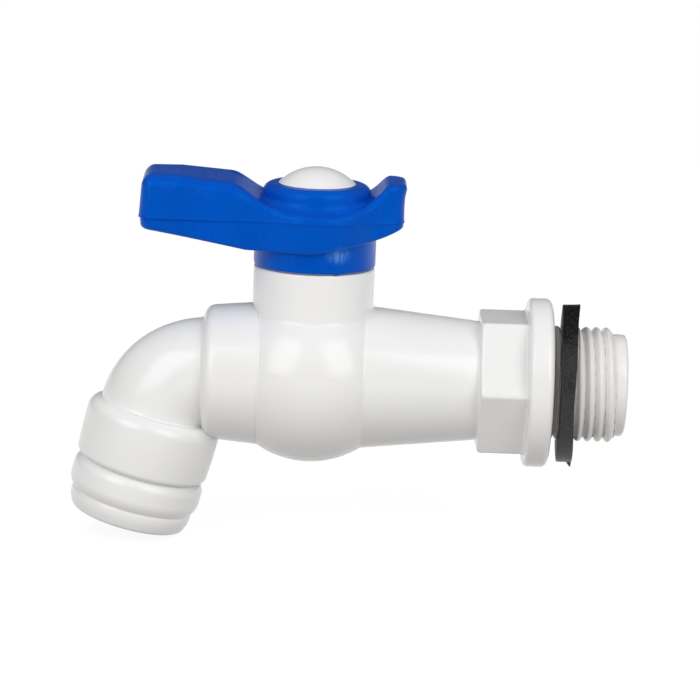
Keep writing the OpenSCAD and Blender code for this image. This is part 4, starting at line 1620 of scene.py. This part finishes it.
@dataclass
class Studio:
    """Floor, surroundings, lamps and camera.

    Angles are in degrees, lengths in millimetres and strengths in watts.
    """

    places: Places
    azimuth: float = 0.276
    elevation: float = 12.2
    roll: float = 2.048
    distance: float = 650.4
    lens: float = 183.45
    shift: Point = (0.0564, 0.0350)
    surround: float = 0.47
    overhead: float = 0.04
    overhead_from: Point = (-0.02, 0.13)
    box_turn: float = 39.0
    box_lift: float = 31.0
    box_size: Point = (0.42, 0.60)
    box_distance: float = 0.72
    box_power: float = 2.07
    floor_tone: Colour = (0.45, 0.44, 0.425)
    floor_glow: float = 0.92
    floor_faint: float = 0.16

    def camera(self) -> None:
        """Places the camera where the photograph was taken from."""
        turn, lift, roll = (math.radians(a) for a in (self.azimuth, self.elevation, self.roll))
        ahead = Vector((math.sin(turn) * math.cos(lift), math.cos(turn) * math.cos(lift), -math.sin(lift)))
        right = Vector((math.cos(turn), -math.sin(turn), 0))
        up = right.cross(ahead)
        across = right * math.cos(roll) + up * math.sin(roll)
        above = -right * math.sin(roll) + up * math.cos(roll)
        place = Matrix((across, above, -ahead)).transposed().to_4x4()
        place.translation = (Vector((self.places.stem_x, 0, 0)) - ahead * self.distance) * MM
        bpy.ops.object.camera_add()
        camera = bpy.context.object
        camera.name = "photo_camera"
        camera.matrix_world = place
        camera.data.lens = self.lens
        camera.data.shift_x, camera.data.shift_y = self.shift
        bpy.context.scene.camera = camera

    def lamp(self, name: str, turn: float, lift: float, distance: float, size: Point, power: float) -> None:
        """Adds one soft lamp that faces the tap.

        Args:
            name: Its name.
            turn: Its direction from the camera's side, in degrees to the right.
            lift: Its height above the level, in degrees.
            distance: Its distance from the tap, in metres.
            size: Its width and height, in metres.
            power: Its power, in watts.
        """
        side, rise = math.radians(turn), math.radians(lift)
        away = Vector((math.sin(side) * math.cos(rise), -math.cos(side) * math.cos(rise), math.sin(rise)))
        middle = Vector((self.places.stem_x * MM, 0, 0))
        bpy.ops.object.light_add(type="AREA", location=middle + away * distance)
        lamp = bpy.context.object
        lamp.name = name
        lamp.data.shape = "RECTANGLE"
        lamp.data.size, lamp.data.size_y = size
        lamp.data.energy = power
        lamp.rotation_euler = away.to_track_quat("Z", "Y").to_euler()

    def surroundings(self) -> None:
        """A plain world: white to the camera, and in reflections white at the level and grey overhead."""
        world = bpy.data.worlds.new("pale_room")
        bpy.context.scene.world = world
        world.use_nodes = True
        tree = world.node_tree
        back = tree.nodes["Background"]
        aim = tree.nodes.new("ShaderNodeTexCoord")
        parts = tree.nodes.new("ShaderNodeSeparateXYZ")
        tree.links.new(aim.outputs["Generated"], parts.inputs["Vector"])
        mirrored = tree.nodes.new("ShaderNodeMapRange")
        mirrored.interpolation_type = "SMOOTHSTEP"
        low, high = self.overhead_from
        for name, number in (("From Min", low), ("From Max", high), ("To Min", 1.0), ("To Max", self.overhead)):
            mirrored.inputs[name].default_value = number
        tree.links.new(parts.outputs["Z"], mirrored.inputs["Value"])
        rays = tree.nodes.new("ShaderNodeLightPath")
        glossy = tree.nodes.new("ShaderNodeMath")
        glossy.operation = "MULTIPLY"
        tree.links.new(rays.outputs["Is Glossy Ray"], glossy.inputs[0])
        tree.links.new(mirrored.outputs["Result"], glossy.inputs[1])
        plain = tree.nodes.new("ShaderNodeMath")
        plain.operation = "MULTIPLY"
        plain.inputs[1].default_value = self.surround
        tree.links.new(rays.outputs["Is Diffuse Ray"], plain.inputs[0])
        seen = tree.nodes.new("ShaderNodeMath")
        seen.operation = "MAXIMUM"
        tree.links.new(rays.outputs["Is Camera Ray"], seen.inputs[0])
        tree.links.new(rays.outputs["Is Transmission Ray"], seen.inputs[1])
        share = seen.outputs[0]
        for source in (glossy.outputs[0], plain.outputs[0]):
            larger = tree.nodes.new("ShaderNodeMath")
            larger.operation = "MAXIMUM"
            tree.links.new(share, larger.inputs[0])
            tree.links.new(source, larger.inputs[1])
            share = larger.outputs[0]
        tree.links.new(share, back.inputs["Strength"])
        back.inputs["Color"].default_value = (1, 1, 1, 1)

    @staticmethod
    def seen_share(tree: bpy.types.NodeTree, otherwise: float) -> bpy.types.NodeSocket:
        """A value that is 1 where the camera, a reflection or glass looks, and another for plain light.

        Args:
            tree: The node tree that it is built in.
            otherwise: The value for plain light.

        Returns:
            The value's socket.
        """
        rays = tree.nodes.new("ShaderNodeLightPath")
        first = tree.nodes.new("ShaderNodeMath")
        second = tree.nodes.new("ShaderNodeMath")
        first.operation = second.operation = "MAXIMUM"
        tree.links.new(rays.outputs["Is Camera Ray"], first.inputs[0])
        tree.links.new(rays.outputs["Is Glossy Ray"], first.inputs[1])
        tree.links.new(first.outputs[0], second.inputs[0])
        tree.links.new(rays.outputs["Is Transmission Ray"], second.inputs[1])
        level = tree.nodes.new("ShaderNodeMapRange")
        level.inputs["To Min"].default_value = otherwise
        level.inputs["To Max"].default_value = 1.0
        tree.links.new(second.outputs[0], level.inputs["Value"])
        return level.outputs["Result"]

    def floor(self) -> None:
        """A plain pale floor that keeps the tap's soft shadow."""
        low = cad_low.z
        deselect_all()
        bpy.ops.mesh.primitive_plane_add(size=6, location=(0, 0, low))
        floor = bpy.context.object
        floor.name = "pale_floor"
        bpy.ops.object.transform_apply(location=True, rotation=True, scale=True)
        material = bpy.data.materials.new("floor_matt")
        material.use_nodes = True
        tree = material.node_tree
        tree.nodes.clear()
        output = tree.nodes.new("ShaderNodeOutputMaterial")
        matt = tree.nodes.new("ShaderNodeBsdfDiffuse")
        matt.inputs["Color"].default_value = (*self.floor_tone, 1)
        faint = tree.nodes.new("ShaderNodeBsdfDiffuse")
        faint.inputs["Color"].default_value = (self.floor_faint,) * 3 + (1,)
        glow = tree.nodes.new("ShaderNodeEmission")
        glow.inputs["Strength"].default_value = self.floor_glow
        seen = tree.nodes.new("ShaderNodeAddShader")
        tree.links.new(faint.outputs[0], seen.inputs[0])
        tree.links.new(glow.outputs[0], seen.inputs[1])
        mix = tree.nodes.new("ShaderNodeMixShader")
        tree.links.new(self.seen_share(tree, 0.0), mix.inputs["Fac"])
        tree.links.new(matt.outputs[0], mix.inputs[1])
        tree.links.new(seen.outputs[0], mix.inputs[2])
        tree.links.new(mix.outputs[0], output.inputs["Surface"])
        floor.data.materials.append(material)

    def build(self) -> None:
        """Sets up the whole studio."""
        self.camera()
        self.lamp("left_box", -self.box_turn, self.box_lift, self.box_distance, self.box_size, self.box_power)
        self.lamp("right_box", self.box_turn, self.box_lift, self.box_distance, self.box_size, self.box_power)
        self.surroundings()
        self.floor()
        bpy.context.scene.view_settings.view_transform = "Standard"
        LOG.info("studio: camera %.1f degrees up, two boxes", self.elevation)


def main() -> None:
    """Builds every piece in order, dresses it and sets up the studio."""
    logging.basicConfig(level=logging.INFO, format="%(name)s: %(message)s")
    places = Places.read()
    white = GlossyWhite().make()
    rubber = Rubber().make()
    finishes = {
        Slot.WHITE: white,
        Slot.BLUE: SatinBlue().make(),
        Slot.GREY: Moulding("grey_moulded", (0.62, 0.62, 0.61), (0.52, 0.52, 0.51), (0.35, 0.5), 0.4).make(),
        Slot.SEAT: Moulding("seat_moulded", (0.82, 0.80, 0.72), (0.74, 0.72, 0.64), (0.3, 0.42), 0.3).make(),
        Slot.RUBBER: rubber,
        Slot.STEEL: TurnedSteel().make(),
    }
    housing = Housing(places)
    dress(housing.build(), white, Slot.WHITE, Body.HOUSING, "body")
    dress(Spout(places, housing).build(), white, Slot.WHITE, Body.HOUSING, "spout")
    dress(Lever(places).build(), finishes[Slot.BLUE], Slot.BLUE, Body.LEVER, "handle")
    dress(Cap(places).build(), white, Slot.WHITE, Body.LEVER, "cap")
    dress(WallWasher(places).build(), rubber, Slot.RUBBER, Body.HOUSING, "inlet_washer")
    InnerParts(finishes).dress({"body", "spout", "handle", "cap", "inlet_washer"})
    Studio(places).build()


if __name__ == "__main__":
    main()
